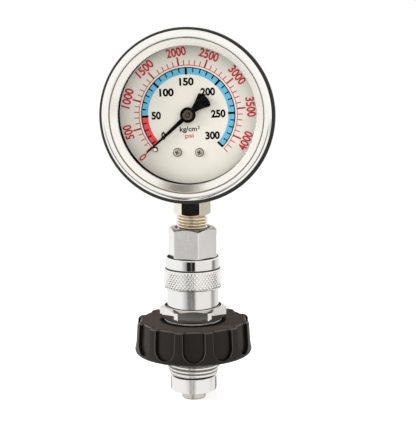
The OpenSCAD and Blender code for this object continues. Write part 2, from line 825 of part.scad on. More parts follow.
// Socket: neck for the wheel, large hexagon, skirt, and the tube that holds balls and plug
module socket_body() {
    neck = neck_d / 2;
    tube_r = tube_d / 2;
    bore_r = plug_d / 2 + fit;
    spigot_bore = spigot_d / 2 + fit;
    floor = spigot_end - 1;
    undercut = 0.4;
    color([0.8, 0.8, 0.81]) difference() {
        union() {
            translate([0, 0, nose_top]) cylinder(r = neck, h = socket_hex_z - nose_top + cut);
            translate([0, 0, socket_hex_z]) rotate([0, 0, socket_hex_turn]) intersection() {
                cylinder(d = socket_hex_af / cos(30), h = socket_hex_h, $fn = 6);
                rotate_extrude() polygon([[0, 0], [socket_blank_d / 2 - 0.4, 0], [socket_blank_d / 2, 0.4],
                    [socket_blank_d / 2, socket_hex_h - 0.9], [skirt_d / 2 + 0.7, socket_hex_h],
                    [0, socket_hex_h]]);
            }
            rotate_extrude() polygon([[0, socket_hex_top - cut], [skirt_d / 2, socket_hex_top - cut],
                [skirt_d / 2, skirt_top - undercut], [skirt_d / 2 - undercut, skirt_top],
                [tube_r, skirt_top],
                [tube_r, tube_top - edge_break], [tube_r - edge_break, tube_top], [0, tube_top]]);
        }
        translate([0, 0, plug_end - 0.4]) cylinder(r = bore_r, h = tube_top - plug_end + 0.4 + cut);
        translate([0, 0, floor]) cylinder(r = spigot_bore, h = plug_end - floor);
        translate([0, 0, seal_z - seal_groove_h / 2])
            cylinder(r = spigot_d / 2 + rubber_gap + seal_wire, h = seal_groove_h);
        translate([0, 0, nose_top]) cylinder(r = gas_r, h = floor - nose_top + cut);
        translate([0, 0, nose_top - cut])
            cylinder(r = shank_d / 2 + screw_fit, h = shank_top + 0.5 - nose_top + cut);
        at_balls() rotate([0, 90, 0]) translate([0, 0, -ball_hole / 2])
            cylinder(r = ball_r + seat_gap, h = ball_hole);
        translate([0, 0, ring_z]) ring(tube_r + cut, ring_seat_r, ring_t);
    }
}

// Places its children at the balls
module at_balls() {
    for (i = [0:balls - 1]) rotate([0, 0, i * 360 / balls]) translate([ball_track, 0, ball_z]) children();
}

// Seal round the plug's spigot
module socket_oring() {
    color([0.08, 0.08, 0.08]) translate([0, 0, seal_z])
        oring(spigot_d / 2 + rubber_gap + seal_wire / 2, seal_wire);
}

// Balls that hold the plug
module locking_balls() {
    color([0.75, 0.75, 0.76]) at_balls() sphere(d = ball_d, $fn = 32);
}

// Sleeve with knurled band and collar, bored for the spring, the locking land and the relief
module release_sleeve() {
    knurl_r = knurl_d / 2;
    collar_r = collar_d / 2;
    edge = 0.5;
    lip = 0.8;
    color([0.8, 0.8, 0.81]) rotate_extrude() polygon(concat(
        [[chamber_r, sleeve_z], [knurl_r - edge, sleeve_z], [knurl_r, sleeve_z + edge],
         [knurl_r, knurl_top - edge], [knurl_r - edge, knurl_top], [collar_r, knurl_top]],
        arc([collar_r - lip, collar_top - lip], lip, 0, 90, 5),
        [[relief_r, collar_top - 0.1], [relief_r, land_top], [land_r, land_top], [land_r, land_z],
         [chamber_r, land_z]]));
}

// Coil spring between the skirt and the sleeve's land
module sleeve_spring() {
    r = (tube_d / 2 + chamber_r) / 2;
    low = skirt_top + spring_wire / 2 + seat_gap;
    high = land_z - spring_wire / 2 - seat_gap;
    sides = 8;
    steps = 24 * spring_turns;
    points = [for (i = [0:steps], k = [0:sides - 1])
        let (a = 360 * spring_turns * i / steps, b = 360 * k / sides, q = r + spring_wire / 2 * cos(b))
        [q * cos(a), q * sin(a), low + (high - low) * i / steps + spring_wire / 2 * sin(b)]];
    walls = [for (i = [0:steps - 1], k = [0:sides - 1]) let (n = (k + 1) % sides)
        [i * sides + k, (i + 1) * sides + k, (i + 1) * sides + n, i * sides + n]];
    first = [for (k = [0:sides - 1]) k];
    last = [for (k = [sides - 1:-1:0]) steps * sides + k];
    color([0.6, 0.6, 0.6]) polyhedron(points, concat(walls, [first], [last]));
}

// Open ring that stops the sleeve
module snap_ring() {
    gap = 3;
    color([0.5, 0.5, 0.5]) translate([0, 0, ring_z]) difference() {
        ring(relief_r - 0.15, ring_seat_r, ring_t);
        translate([0, -gap / 2, -cut]) cube([collar_d, gap, ring_t + 2 * cut]);
    }
}

// Washer between the wheel's insert and the large hexagon
module thrust_washer() {
    color([0.78, 0.78, 0.79]) translate([0, 0, socket_hex_z - washer_t])
        ring(washer_d / 2, neck_d / 2, washer_t);
}

// Black fluted wheel, moulded round the insert
module handwheel() {
    low_r = wheel_d / 2;
    top_r = low_r - wheel_draft;
    low_round = 1.6;
    top_round = 0.7;
    floor_r = low_r - flute_depth;
    flute_z = wheel_z + flute_land + flute_w / 2;
    color([0.13, 0.12, 0.11]) difference() {
        rotate_extrude($fn = 128) polygon(concat(
            [[0, wheel_z]],
            arc([low_r - low_round, wheel_z + low_round], low_round, -90, 0, 5),
            arc([top_r - top_round, wheel_top - top_round], top_round, 0, 90, 4),
            [[0, wheel_top]]));
        translate([0, 0, wheel_z - cut])
            cylinder(d = wheel_recess_d, h = wheel_recess_h + cut);
        for (i = [0:flutes - 1]) rotate([0, 0, -90 + wheel_turn + i * 360 / flutes]) difference() {
            translate([0, 0, flute_z]) rotate([0, 90, 0]) linear_extrude(low_r + cut) {
                circle(d = flute_w);
                translate([-wheel_h, -flute_w / 2]) square([wheel_h, flute_w]);
            }
            translate([0, 0, wheel_z])
                cylinder(r1 = floor_r, r2 = floor_r - 2 * wheel_draft, h = 2 * wheel_h, $fn = 128);
        }
        translate([0, 0, thread_len - cut]) cylinder(d = grip_d, h = wheel_h, $fn = 12);
        translate([0, 0, wheel_top - flange_t]) cylinder(d = flange_d, h = flange_t + cut);
    }
}

// Metal insert: lead-in, valve thread, twelve-sided grip and top flange
module threaded_insert() {
    thread_r = thread_d / 2;
    lead_r = lead_d / 2;
    color([0.78, 0.78, 0.79]) difference() {
        union() {
            rotate_extrude() polygon([[0, insert_z], [lead_r - edge_break, insert_z],
                [lead_r, insert_z + edge_break], [lead_r, -lead_cone], [thread_r, 0],
                [thread_r, thread_len], [0, thread_len]]);
            translate([0, 0, thread_len])
                cylinder(d = grip_d, h = wheel_top - flange_t - thread_len, $fn = 12);
            translate([0, 0, wheel_top - flange_t]) cylinder(d = flange_d, h = flange_t);
        }
        translate([0, 0, insert_z - cut])
            cylinder(r = neck_d / 2 + fit, h = wheel_top - insert_z + 2 * cut);
    }
}

// Nose that holds the wheel on the neck: shank, head with a seal groove, and drilled tip
module nose_retainer() {
    shank_r = shank_d / 2;
    nose_r = nose_d / 2;
    tip_r = tip_d / 2;
    round_r = 1;
    bevel = 0.5;
    key_af = 5;
    groove_w = face_seal_wire * 1.2;
    color([0.8, 0.8, 0.81]) difference() {
        rotate_extrude() polygon(concat(
            [[0, tip_bottom], [tip_r - bevel, tip_bottom], [tip_r, tip_bottom + bevel],
             [tip_r, nose_bottom]],
            arc([nose_r - round_r, nose_bottom + round_r], round_r, -90, 0, 5),
            [[nose_r, nose_top - edge_break], [nose_r - edge_break, nose_top], [shank_r, nose_top],
             [shank_r, shank_top], [0, shank_top]]));
        translate([0, 0, tip_bottom - cut]) cylinder(r = gas_r, h = shank_top - tip_bottom + 2 * cut);
        translate([0, 0, tip_bottom - cut]) cylinder(r = filter_r, h = filter_top - tip_bottom + cut);
        translate([0, 0, clip_z]) cylinder(r = filter_r + clip_grip, h = clip_t);
        translate([0, 0, filter_top]) cylinder(d = key_af / cos(30), h = nose_len, $fn = 6);
        translate([0, 0, nose_bottom - cut]) ring((face_seal_d + groove_w) / 2,
            (face_seal_d - groove_w) / 2, face_seal_wire * 0.85 + cut);
        translate([0, 0, shank_seal_z - shank_groove_h / 2])
            ring(shank_r + cut, shank_r - shank_seal_wire, shank_groove_h);
    }
}

// Seal between the shank and the neck
module retainer_oring() {
    color([0.08, 0.08, 0.08]) translate([0, 0, shank_seal_z])
        oring(shank_d / 2 - shank_seal_wire / 2, shank_seal_wire);
}

// Seal in the nose's face
module face_oring() {
    color([0.08, 0.08, 0.08]) translate([0, 0, nose_bottom + face_seal_wire * 0.35])
        oring(face_seal_d / 2, face_seal_wire);
}

// Sintered filter in the tip
module inlet_filter() {
    color([0.65, 0.5, 0.3]) translate([0, 0, clip_z + clip_t])
        cylinder(r = filter_r, h = filter_top - clip_z - clip_t);
}

// Open ring that holds the filter
module filter_clip() {
    gap = 1.6;
    color([0.5, 0.5, 0.5]) translate([0, 0, clip_z]) difference() {
        ring(filter_r + clip_grip, filter_r - 0.9, clip_t);
        translate([0, -gap / 2, -cut]) cube([2 * filter_r, gap, clip_t + 2 * cut]);
    }
}

case();
bezel();
bevel_ring();
window();
window_seal();
dial();
dial_screws();
stop_pin();
pointer();
pointer_hub();
pinion_arbor();
hairspring();
sector_gear();
sector_arbor();
movement_rear_plate();
movement_front_plate();
movement_pillars();
movement_screws();
link();
link_pin();
bourdon_tube();
tube_tip();
tip_pin();
gauge_stem();
stem_bush();
fill_plug();
plug_adapter();
adapter_washer();
socket_body();
socket_oring();
locking_balls();
release_sleeve();
sleeve_spring();
snap_ring();
thrust_washer();
handwheel();
threaded_insert();
nose_retainer();
retainer_oring();
face_oring();
inlet_filter();
filter_clip();
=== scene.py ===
import json
import math

import bmesh
import bpy
import numpy as np
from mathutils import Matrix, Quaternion, Vector

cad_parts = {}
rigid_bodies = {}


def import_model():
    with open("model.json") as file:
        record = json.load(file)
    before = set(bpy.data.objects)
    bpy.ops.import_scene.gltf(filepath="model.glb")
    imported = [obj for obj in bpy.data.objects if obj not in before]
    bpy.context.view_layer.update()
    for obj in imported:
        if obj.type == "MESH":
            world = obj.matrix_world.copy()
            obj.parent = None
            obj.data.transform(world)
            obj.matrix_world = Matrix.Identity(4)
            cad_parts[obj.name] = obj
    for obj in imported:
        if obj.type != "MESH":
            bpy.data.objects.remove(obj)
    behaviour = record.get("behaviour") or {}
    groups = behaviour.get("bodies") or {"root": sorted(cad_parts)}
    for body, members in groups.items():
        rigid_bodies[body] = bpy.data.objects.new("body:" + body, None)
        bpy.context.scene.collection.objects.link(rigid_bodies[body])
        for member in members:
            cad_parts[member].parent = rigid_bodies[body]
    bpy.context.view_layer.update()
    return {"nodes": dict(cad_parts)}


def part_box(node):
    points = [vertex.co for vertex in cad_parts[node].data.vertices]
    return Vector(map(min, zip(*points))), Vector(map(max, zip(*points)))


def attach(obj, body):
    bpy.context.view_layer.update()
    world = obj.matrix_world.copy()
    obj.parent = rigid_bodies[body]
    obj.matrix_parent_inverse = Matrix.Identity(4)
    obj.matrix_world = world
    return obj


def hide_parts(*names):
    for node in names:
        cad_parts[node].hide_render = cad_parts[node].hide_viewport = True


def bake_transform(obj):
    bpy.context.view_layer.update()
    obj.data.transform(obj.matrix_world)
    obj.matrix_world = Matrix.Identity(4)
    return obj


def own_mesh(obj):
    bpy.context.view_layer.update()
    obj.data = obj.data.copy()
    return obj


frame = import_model()

MM = 0.001

# Heights of the stack in millimetres, as in the part's source
INSERT_Z = -2.6555
NOSE_TOP = -3.1555
NOSE_BOTTOM = -9.7555
TIP_BOTTOM = -13.6555
THREAD_LEN = 9.8
WHEEL_Z = 7.3
WHEEL_TOP = 21.6
SOCKET_HEX_Z = 22.35
SOCKET_HEX_TOP = 28.15
SLEEVE_Z = 36.45
SKIRT_TOP = 37.35
LAND_Z = 43.6
KNURL_TOP = 44.75
LAND_TOP = 47.35
TUBE_TOP = 49.0
COLLAR_TOP = 49.75
PLUG_HEX_Z = 50.5
PLUG_HEX_TOP = 63.1
STEM_END = 55.0
STEM_HEX_Z = 68.2
STEM_HEX_TOP = 78.2
GAUGE_Z = 111.85

# Depths of the gauge, towards the reader
CASE_BACK = -11.0
RIM_FRONT = 15.3
WINDOW_FRONT = 18.0
DIAL_FRONT = 12.8
POINTER_U = 14.0


def clear_scene():
    for obj in list(bpy.data.objects):
        if obj.type in {"LIGHT", "CAMERA"}:
            bpy.data.objects.remove(obj)
    bpy.context.scene.view_settings.view_transform = "Standard"


clear_scene()


# Node helpers
SOCKET_KINDS = {float: "NodeSocketFloat", int: "NodeSocketInt", tuple: "NodeSocketColor",
                type(None): "NodeSocketMaterial"}


def feed(tree, socket, value):
    """Sets a socket to a value, or wires it to another node's output."""
    if isinstance(value, bpy.types.NodeSocket):
        tree.links.new(value, socket)
    elif value is not None:
        socket.default_value = value


def add(tree, kind, inputs=None, **settings):
    """New node with its settings, and its inputs fed by name or number."""
    node = tree.nodes.new(kind)
    for key, value in settings.items():
        setattr(node, key, value)
    for key, value in (inputs or {}).items():
        feed(tree, node.inputs[key], value)
    return node


def output(tree, kind, inputs=None, **settings):
    """First output of a new node."""
    return add(tree, kind, inputs, **settings).outputs[0]


def calc(operation, *values, **settings):
    """Arithmetic on numbers and outputs, in the outputs' own tree."""
    tree = next(value.id_data for value in values if isinstance(value, bpy.types.NodeSocket))
    return output(tree, "ShaderNodeMath", dict(enumerate(values)), operation=operation, **settings)


def times(*values):
    return calc("MULTIPLY", *values)


def plus(*values):
    return calc("ADD", *values)


def vector_node(tree, *values):
    return output(tree, "ShaderNodeCombineXYZ", dict(enumerate(values)))


def new_group(name, kind, inputs, outputs):
    """Node group, with what it is given and what it makes as sockets to wire."""
    group = bpy.data.node_groups.new(name, kind)
    for title, value in inputs.items():
        socket_kind = SOCKET_KINDS[type(value)]
        socket = group.interface.new_socket(name=title, in_out="INPUT", socket_type=socket_kind)
        if value is not None:
            socket.default_value = value
    for title, socket_kind in outputs.items():
        group.interface.new_socket(name=title, in_out="OUTPUT", socket_type=socket_kind)
    given = group.nodes.new("NodeGroupInput").outputs
    made = group.nodes.new("NodeGroupOutput").inputs
    return group, given, made


# Finishes
def make_mottle_group():
    """Slow and fine blotches: a colour and a roughness near the given ones, and a height."""
    group, given, made = new_group(
        "mottle", "ShaderNodeTree",
        {"Colour": (0.5, 0.5, 0.5, 1), "Spread": 0.1, "Scale": 300.0, "Roughness": 0.4,
         "Roughness Spread": 0.08},
        {"Colour": "NodeSocketColor", "Roughness": "NodeSocketFloat", "Height": "NodeSocketFloat"})
    place = add(group, "ShaderNodeTexCoord").outputs["Object"]
    finer = times(given["Scale"], 9)
    slow = add(group, "ShaderNodeTexNoise", {"Vector": place, "Scale": given["Scale"], "Detail": 5})
    fine = add(group, "ShaderNodeTexNoise", {"Vector": place, "Scale": finer, "Detail": 3})
    both = plus(slow.outputs["Fac"], fine.outputs["Fac"])
    centred = calc("SUBTRACT", both, 1)
    gain = calc("MULTIPLY_ADD", centred, given["Spread"], 1)
    tint = add(group, "ShaderNodeVectorMath", {0: given["Colour"], "Scale": gain}, operation="SCALE")
    feed(group, made["Colour"], tint.outputs[0])
    rough = calc("MULTIPLY_ADD", centred, given["Roughness Spread"], given["Roughness"], use_clamp=True)
    feed(group, made["Roughness"], rough)
    feed(group, made["Height"], both)
    return group


def make_turned_group():
    """Fine lines left by turning: about the stack's own axis, or about the gauge's axis."""
    group, given, made = new_group(
        "turned_lines", "ShaderNodeTree", {"Pitch": 4000.0, "About Gauge": 0.0},
        {"Height": "NodeSocketFloat"})
    place = add(group, "ShaderNodeTexCoord").outputs["Object"]
    x, y, z = add(group, "ShaderNodeSeparateXYZ", {0: place}).outputs
    flat = vector_node(group, x, calc("SUBTRACT", z, GAUGE_Z * MM))
    radius = add(group, "ShaderNodeVectorMath", {0: flat}, operation="LENGTH").outputs["Value"]
    depth = plus(radius, y)
    pick = add(group, "ShaderNodeMix", {0: given["About Gauge"], 2: z, 3: depth}, data_type="FLOAT")
    scaled = times(pick.outputs[0], given["Pitch"])
    lines = add(group, "ShaderNodeTexNoise", {"W": scaled, "Scale": 1, "Detail": 4}, noise_dimensions="1D")
    feed(group, made["Height"], lines.outputs["Fac"])
    return group


MOTTLE = make_mottle_group()
TURNED = make_turned_group()
BUMP_DEPTH = 0.05 * MM


def new_material(name):
    material = bpy.data.materials.new(name)
    material.use_nodes = True
    return material, material.node_tree, material.node_tree.nodes["Principled BSDF"].inputs


def bump_node(tree, height, strength, normal=None):
    return add(tree, "ShaderNodeBump", {
        "Strength": strength, "Distance": BUMP_DEPTH, "Height": height, "Normal": normal}).outputs["Normal"]


def finish(name, colour, rough, metal=0.0, spread=0.1, scale=300.0, rough_spread=0.08,
           bump=0.0, turned=None, turned_bump=0.02, specular=0.5):
    """A finish of its own: mottled colour and roughness, with grain or turning lines as bump."""
    material, tree, shader = new_material(name)
    shader["Metallic"].default_value = metal
    shader["Specular IOR Level"].default_value = specular
    mottle = add(tree, "ShaderNodeGroup", {
        "Colour": (*colour, 1), "Spread": spread, "Scale": scale, "Roughness": rough,
        "Roughness Spread": rough_spread}, node_tree=MOTTLE).outputs
    feed(tree, shader["Base Color"], mottle["Colour"])
    feed(tree, shader["Roughness"], mottle["Roughness"])
    normal = bump_node(tree, mottle["Height"], bump) if bump else None
    if turned:
        pitch, about_gauge = turned
        lines = add(tree, "ShaderNodeGroup", {"Pitch": pitch, "About Gauge": about_gauge}, node_tree=TURNED)
        normal = bump_node(tree, lines.outputs["Height"], turned_bump, normal)
    feed(tree, shader["Normal"], normal)
    return material


def clear_glass(name):
    """Window pane that lets the lamps through to the dial."""
    material, tree, shader = new_material(name)
    shader["Base Color"].default_value = (0.985, 0.99, 0.985, 1)
    shader["Roughness"].default_value = 0.02
    shader["IOR"].default_value = 1.08
    shader["Transmission Weight"].default_value = 1.0
    pane = tree.nodes["Principled BSDF"].outputs[0]
    shadow = add(tree, "ShaderNodeLightPath").outputs["Is Shadow Ray"]
    clear = output(tree, "ShaderNodeBsdfTransparent")
    mix = add(tree, "ShaderNodeMixShader", {0: shadow, 1: pane, 2: clear})
    feed(tree, tree.nodes["Material Output"].inputs["Surface"], mix.outputs[0])
    return material


CHROME = finish("chrome_plate", (0.92, 0.92, 0.915), 0.07, 1.0, spread=0.03, scale=160, rough_spread=0.05,
                turned=(9000, 0), turned_bump=0.03)
CHROME_SATIN = finish("chrome_satin", (0.92, 0.915, 0.905), 0.17, 1.0, spread=0.03, scale=160,
                      rough_spread=0.05, turned=(9000, 0), turned_bump=0.06)
CHROME_FLAT = finish("chrome_hexagon", (0.92, 0.915, 0.905), 0.17, 1.0, spread=0.12, scale=110,
                     rough_spread=0.06, bump=0.012)
CHROME_DARK = finish("chrome_polished", (0.87, 0.86, 0.845), 0.05, 1.0, spread=0.06, scale=400,
                     rough_spread=0.03, bump=0.008)
# Painted shade: darker brownish chrome on the socket hexagon's upper chamfer and on the side of the nose's
# tip.
CHROME_CONE_SHADE = finish("chrome_cone_painted_shade", (0.66, 0.61, 0.56), 0.15, 1.0, spread=0.2, scale=500, bump=0.01)
# Painted shade: dark brown chrome on the plug's top chamfer and flat, the nose's lower edges and the root
# of the insert's thread.
CHROME_BROWN_SHADE = finish("chrome_brown_painted_shade", (0.24, 0.215, 0.19), 0.22, 1.0, spread=0.2, scale=500, bump=0.02)
# Painted shadow: near black under the socket hexagon, on the ledge under the skirt and on the insert's
# flange and rim.
RECESS_SHADOW_BLACK = finish("recess_painted_shadow", (0.012, 0.01, 0.009), 0.6, spread=0.3, scale=600, specular=0.0)
# Painted light: a pale, dull lip inside the collar, standing for a lit reflection.
CHROME_LIP_LIGHT = finish("chrome_lip_painted_light", (0.56, 0.51, 0.46), 0.5, spread=0.1, scale=500, specular=0.3)
# Painted shade: dark chrome in the sleeve's groove, lower face and inside, and inside the plug and socket.
CHROME_SHADE = finish("chrome_recess_painted_shade", (0.06, 0.055, 0.05), 0.4, 1.0, spread=0.2, scale=500)
KNURL_CHROME = finish("chrome_knurl", (0.99, 0.985, 0.97), 0.2, 1.0, spread=0.05, scale=600)
# Painted shade: the band between the knurl's pyramids is darker than the pyramids.
KNURL_GROOVE_SHADE = finish("chrome_knurl_groove_painted_shade", (0.72, 0.7, 0.67), 0.24, 1.0, spread=0.1, scale=600)
WASHER_STEEL = finish("washer_steel", (0.95, 0.94, 0.92), 0.45, 1.0, spread=0.05, scale=500)
THREAD_STEEL = finish("thread_steel", (0.86, 0.85, 0.83), 0.12, 1.0, spread=0.08, scale=400,
                      turned=(6000, 0), turned_bump=0.05)
NICKEL = finish("warm_nickel", (0.93, 0.865, 0.765), 0.06, 1.0, spread=0.04, scale=300, bump=0.004)
# Painted shade: darker nickel on the root of the stem's thread.
NICKEL_ROOT_SHADE = finish("warm_nickel_root_painted_shade", (0.5, 0.41, 0.28), 0.3, 1.0, spread=0.2, scale=500)
NICKEL_THREAD = finish("warm_nickel_thread", (0.92, 0.83, 0.66), 0.12, 1.0, spread=0.08, scale=500)
BEZEL_STEEL = finish("bezel_steel", (0.97, 0.96, 0.935), 0.08, 1.0, spread=0.03, scale=60,
                     rough_spread=0.04, turned=(5000, 1), turned_bump=0.008)
BEVEL_STEEL = finish("bevel_steel", (0.97, 0.945, 0.895), 0.2, 1.0, spread=0.03, scale=90,
                     turned=(5000, 1), turned_bump=0.03)
CASE_BLACK = finish("case_black", (0.03, 0.027, 0.024), 0.5, spread=0.2, scale=500, bump=0.05, specular=0.3)
WHEEL_PLASTIC = finish("wheel_plastic", (0.0145, 0.0106, 0.008), 0.36, spread=0.25, scale=700, bump=0.08,
                       specular=0.22)
# Painted light: the wheel's top face and inside are a paler copy of its plastic.
WHEEL_TOP_LIT = finish("wheel_top", (0.064, 0.05, 0.042), 0.7, spread=0.2, scale=700, bump=0.06,
                        specular=0.04)
# Painted highlight: a paler plastic on the flute lips and along the wheel's top edge.
WHEEL_EDGE_HIGHLIGHT = finish("wheel_edge_painted_highlight", (0.085, 0.074, 0.064), 0.42, spread=0.2, scale=700, specular=0.25)
# Painted shade: near-black plastic on the walls of the flutes.
WHEEL_WALL_SHADE = finish("wheel_wall_painted_shade", (0.006, 0.005, 0.0045), 0.6, spread=0.2, scale=700, specular=0.05)
DIAL_ENAMEL = finish("dial_enamel", (0.735, 0.697, 0.622), 0.6, spread=0.02, scale=200, bump=0.01,
                     specular=0.15)
INK_BLACK = finish("ink_black", (0.004, 0.004, 0.005), 0.7, spread=0.3, scale=900, specular=0.02)
INK_RED = finish("ink_red", (0.56, 0.04, 0.055), 0.6, spread=0.12, scale=900, specular=0.08)
INK_BAND_RED = finish("ink_band_red", (0.76, 0.07, 0.08), 0.6, spread=0.08, scale=900, specular=0.08)
INK_BLUE = finish("ink_blue", (0.13, 0.43, 0.63), 0.6, spread=0.08, scale=900, specular=0.08)
POINTER_BLACK = finish("pointer_black", (0.003, 0.003, 0.003), 0.7, spread=0.25, scale=900, bump=0.02,
                       specular=0.02)
HUB_BRASS = finish("hub_brass", (0.13, 0.105, 0.075), 0.5, 1.0, spread=0.15, scale=900)
BRASS = finish("movement_brass", (0.62, 0.49, 0.24), 0.3, 1.0, spread=0.12, scale=500, bump=0.04)
BRONZE = finish("spring_bronze", (0.6, 0.4, 0.2), 0.3, 1.0, spread=0.12, scale=500, bump=0.04)
STEEL = finish("screw_steel", (0.6, 0.58, 0.54), 0.26, 1.0, spread=0.1, scale=700, bump=0.03)
SCREW_BEIGE = finish("screw_beige", (0.5, 0.45, 0.37), 0.38, 1.0, spread=0.15, scale=900, bump=0.05)
# Painted shade: the screws' cross recesses, the dark rings under their heads and the stop pin's shoulder.
SCREW_SHADE = finish("screw_painted_shade", (0.05, 0.04, 0.032), 0.5, spread=0.3, scale=900, bump=0.05)
PIN_PALE = finish("pin_pale", (0.85, 0.83, 0.79), 0.25, 1.0, spread=0.1, scale=900)
GROOVE_BROWN = finish("groove_brown", (0.34, 0.27, 0.19), 0.6, spread=0.2, scale=900, specular=0.1)
RUBBER = finish("seal_rubber", (0.02, 0.02, 0.02), 0.7, spread=0.3, scale=900, bump=0.15)
COPPER = finish("washer_copper", (0.66, 0.34, 0.2), 0.35, 1.0, spread=0.12, scale=600, bump=0.05)
SINTER = finish("filter_bronze", (0.42, 0.32, 0.18), 0.6, 1.0, spread=0.4, scale=1600, bump=0.6)
GLASS = clear_glass("window_clear")

# Finishes of the solids that stay as they are
NODE_FINISH = {
    "window": GLASS, "window_seal": RUBBER, "dial": DIAL_ENAMEL,
    "pinion_arbor": HUB_BRASS, "hairspring": BRONZE, "sector_gear": BRASS, "sector_arbor": STEEL,
    "movement_rear_plate": BRASS, "movement_front_plate": BRASS, "movement_pillars": BRASS,
    "movement_screws": STEEL, "link": STEEL, "link_pin": STEEL, "tube_tip": BRASS, "tip_pin": STEEL,
    "stem_bush": RUBBER, "fill_plug": RUBBER, "adapter_washer": COPPER, "socket_oring": RUBBER,
    "locking_balls": STEEL, "snap_ring": STEEL, "retainer_oring": RUBBER, "face_oring": RUBBER,
    "inlet_filter": SINTER, "filter_clip": STEEL,
}
for node_name, material in NODE_FINISH.items():
    data = frame["nodes"][node_name].data
    data.materials.clear()
    data.materials.append(material)


# Mesh helpers, in millimetres
SHARP = 19.0
WELD = 2e-7
FILLET_STEPS = 6


def final_mesh(obj):
    graph = bpy.context.evaluated_depsgraph_get()
    return bpy.data.meshes.new_from_object(obj.evaluated_get(graph))


def plain_mesh(obj):
    """Turns an object with modifiers into one with a plain mesh."""
    data = final_mesh(obj)
    obj.modifiers.clear()
    obj.data = data
    return obj


def link_object(name, data):
    obj = bpy.data.objects.new(name, data)
    bpy.context.scene.collection.objects.link(obj)
    return obj


def settle(obj, body, node=None):
    """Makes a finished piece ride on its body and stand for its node."""
    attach(obj, body)
    if node:
        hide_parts(node)


def solid(name, points, faces, materials, face_materials=None, sharp=SHARP):
    """Mesh object from points in millimetres, cleaned, smooth, with sharp edges kept."""
    data = bpy.data.meshes.new(name)
    data.from_pydata([tuple(p) for p in np.asarray(points) * MM], [], faces)
    for material in materials:
        data.materials.append(material)
    if face_materials is not None:
        data.polygons.foreach_set("material_index", face_materials)
    work = bmesh.new()
    work.from_mesh(data)
    bmesh.ops.remove_doubles(work, verts=work.verts, dist=WELD)
    bmesh.ops.recalc_face_normals(work, faces=work.faces)
    work.to_mesh(data)
    work.free()
    data.shade_smooth()
    data.set_sharp_from_angle(angle=math.radians(sharp))
    obj = link_object(name, data)
    even = obj.modifiers.new("even", "WEIGHTED_NORMAL")
    even.mode = "FACE_AREA"
    even.keep_sharp = True
    return plain_mesh(obj)


def fillet(corners, steps=FILLET_STEPS):
    """Profile through corners, sharp (r, z) or rounded (r, z, radius)."""
    made = []
    count = len(corners)
    for i, (r, z, *radius) in enumerate(corners):
        here = np.array([r, z], float)
        if not radius:
            made.append(tuple(here))
            continue
        before = np.array(corners[i - 1][:2], float) - here
        after = np.array(corners[(i + 1) % count][:2], float) - here
        back = np.linalg.norm(before)
        ahead = np.linalg.norm(after)
        cosine = np.clip(before @ after / (back * ahead), -1, 1)
        half = math.acos(cosine) / 2
        reach = min(radius[0] / math.tan(half), 0.45 * back, 0.45 * ahead)
        first = here + before / back * reach
        last = here + after / ahead * reach
        for k in range(steps + 1):
            t = k / steps
            made.append(tuple((1 - t) ** 2 * first + 2 * t * (1 - t) * here + t * t * last))
    return made


def round_ring(r, z, angles):
    return np.stack([r * np.cos(angles), r * np.sin(angles), np.full(len(angles), z)], axis=1)


def turned_rings(corners, angles):
    """Rings through a profile, given as in fillet."""
    return [round_ring(r, z, angles) for r, z in fillet(corners)]


def loft(name, rings, materials, ring_materials=None, sharp=SHARP, gauge=False, face_material=None,
         capped=False):
    """Closed skin through rings of equal count: the last joined to the first, or both capped."""
    count = len(rings[0])
    points = np.concatenate(rings)
    if gauge:
        points = np.stack([points[:, 0], -points[:, 2], points[:, 1] + GAUGE_Z], axis=1)
    faces = []
    kinds = []
    for i in range(len(rings) - int(capped)):
        j = (i + 1) % len(rings)
        for k in range(count):
            n = (k + 1) % count
            faces.append((i * count + k, i * count + n, j * count + n, j * count + k))
            if face_material:
                kinds.append(face_material(i, k))
            else:
                kinds.append(ring_materials[i] if ring_materials else 0)
    if capped:
        faces += [tuple(range(count)), tuple(range(len(points) - count, len(points)))]
        kinds += [0, 0]
    return solid(name, points, faces, materials, kinds, sharp)


def lathe(name, corners, material, gauge=False, count=180, base=0.0, others=(), where=None):
    """Body of revolution through a closed profile, given as in fillet, with heights above base.

    Where it has other finishes, where(r, z) gives the number of the finish.
    """
    angles = np.arange(count) * 2 * math.pi / count
    outline = [(r, z + base) for r, z in fillet(corners)]
    kinds = None
    if others:
        ends = outline[1:] + outline[:1]
        kinds = [int(where((r + s) / 2, (z + t) / 2)) for (r, z), (s, t) in zip(outline, ends)]
    rings = [round_ring(r, z, angles) for r, z in outline]
    return loft(name, rings, [material, *others], kinds, gauge=gauge)


def shift(obj, offset):
    """Moves a mesh's points by an offset in millimetres, one for all or one for each."""
    places = np.array([v.co for v in obj.data.vertices]) + np.asarray(offset) * MM
    obj.data.vertices.foreach_set("co", places.astype(np.float32).ravel())


def bmesh_object(name, work, material):
    data = bpy.data.meshes.new(name)
    work.to_mesh(data)
    work.free()
    data.materials.append(material)
    return link_object(name, data)


# Hexagons
HEX_STEPS = [0, 0.6, 1.2, 2.4, 3.72, *range(6, 55, 4), 56.28, 57.6, 58.8, 59.4]


def hex_angles(turn):
    return np.radians([turn + 60 * k + step for k in range(6) for step in HEX_STEPS])


def hex_edges(af, low, high, lip, slope, corner, turn, angles, low_lip=None):
    """The two rings where a hexagon's flats meet its end cones."""
    off = (np.degrees(angles) - turn) % 60 - 30
    radius = np.minimum(af / 2 / np.cos(np.radians(off)), corner)
    drop = np.maximum(0, radius - lip) * math.tan(math.radians(slope))
    rise = np.maximum(0, radius - (low_lip or lip)) * math.tan(math.radians(slope))
    flat = np.stack([radius * np.cos(angles), radius * np.sin(angles)], axis=1)
    upper = np.column_stack([flat, high - drop])
    lower = np.column_stack([flat, low + rise])
    return lower, upper


def between(first, last, steps):
    """Rings spaced evenly between two rings, without the two."""
    return [first + (last - first) * k / (steps + 1) for k in range(1, steps + 1)]


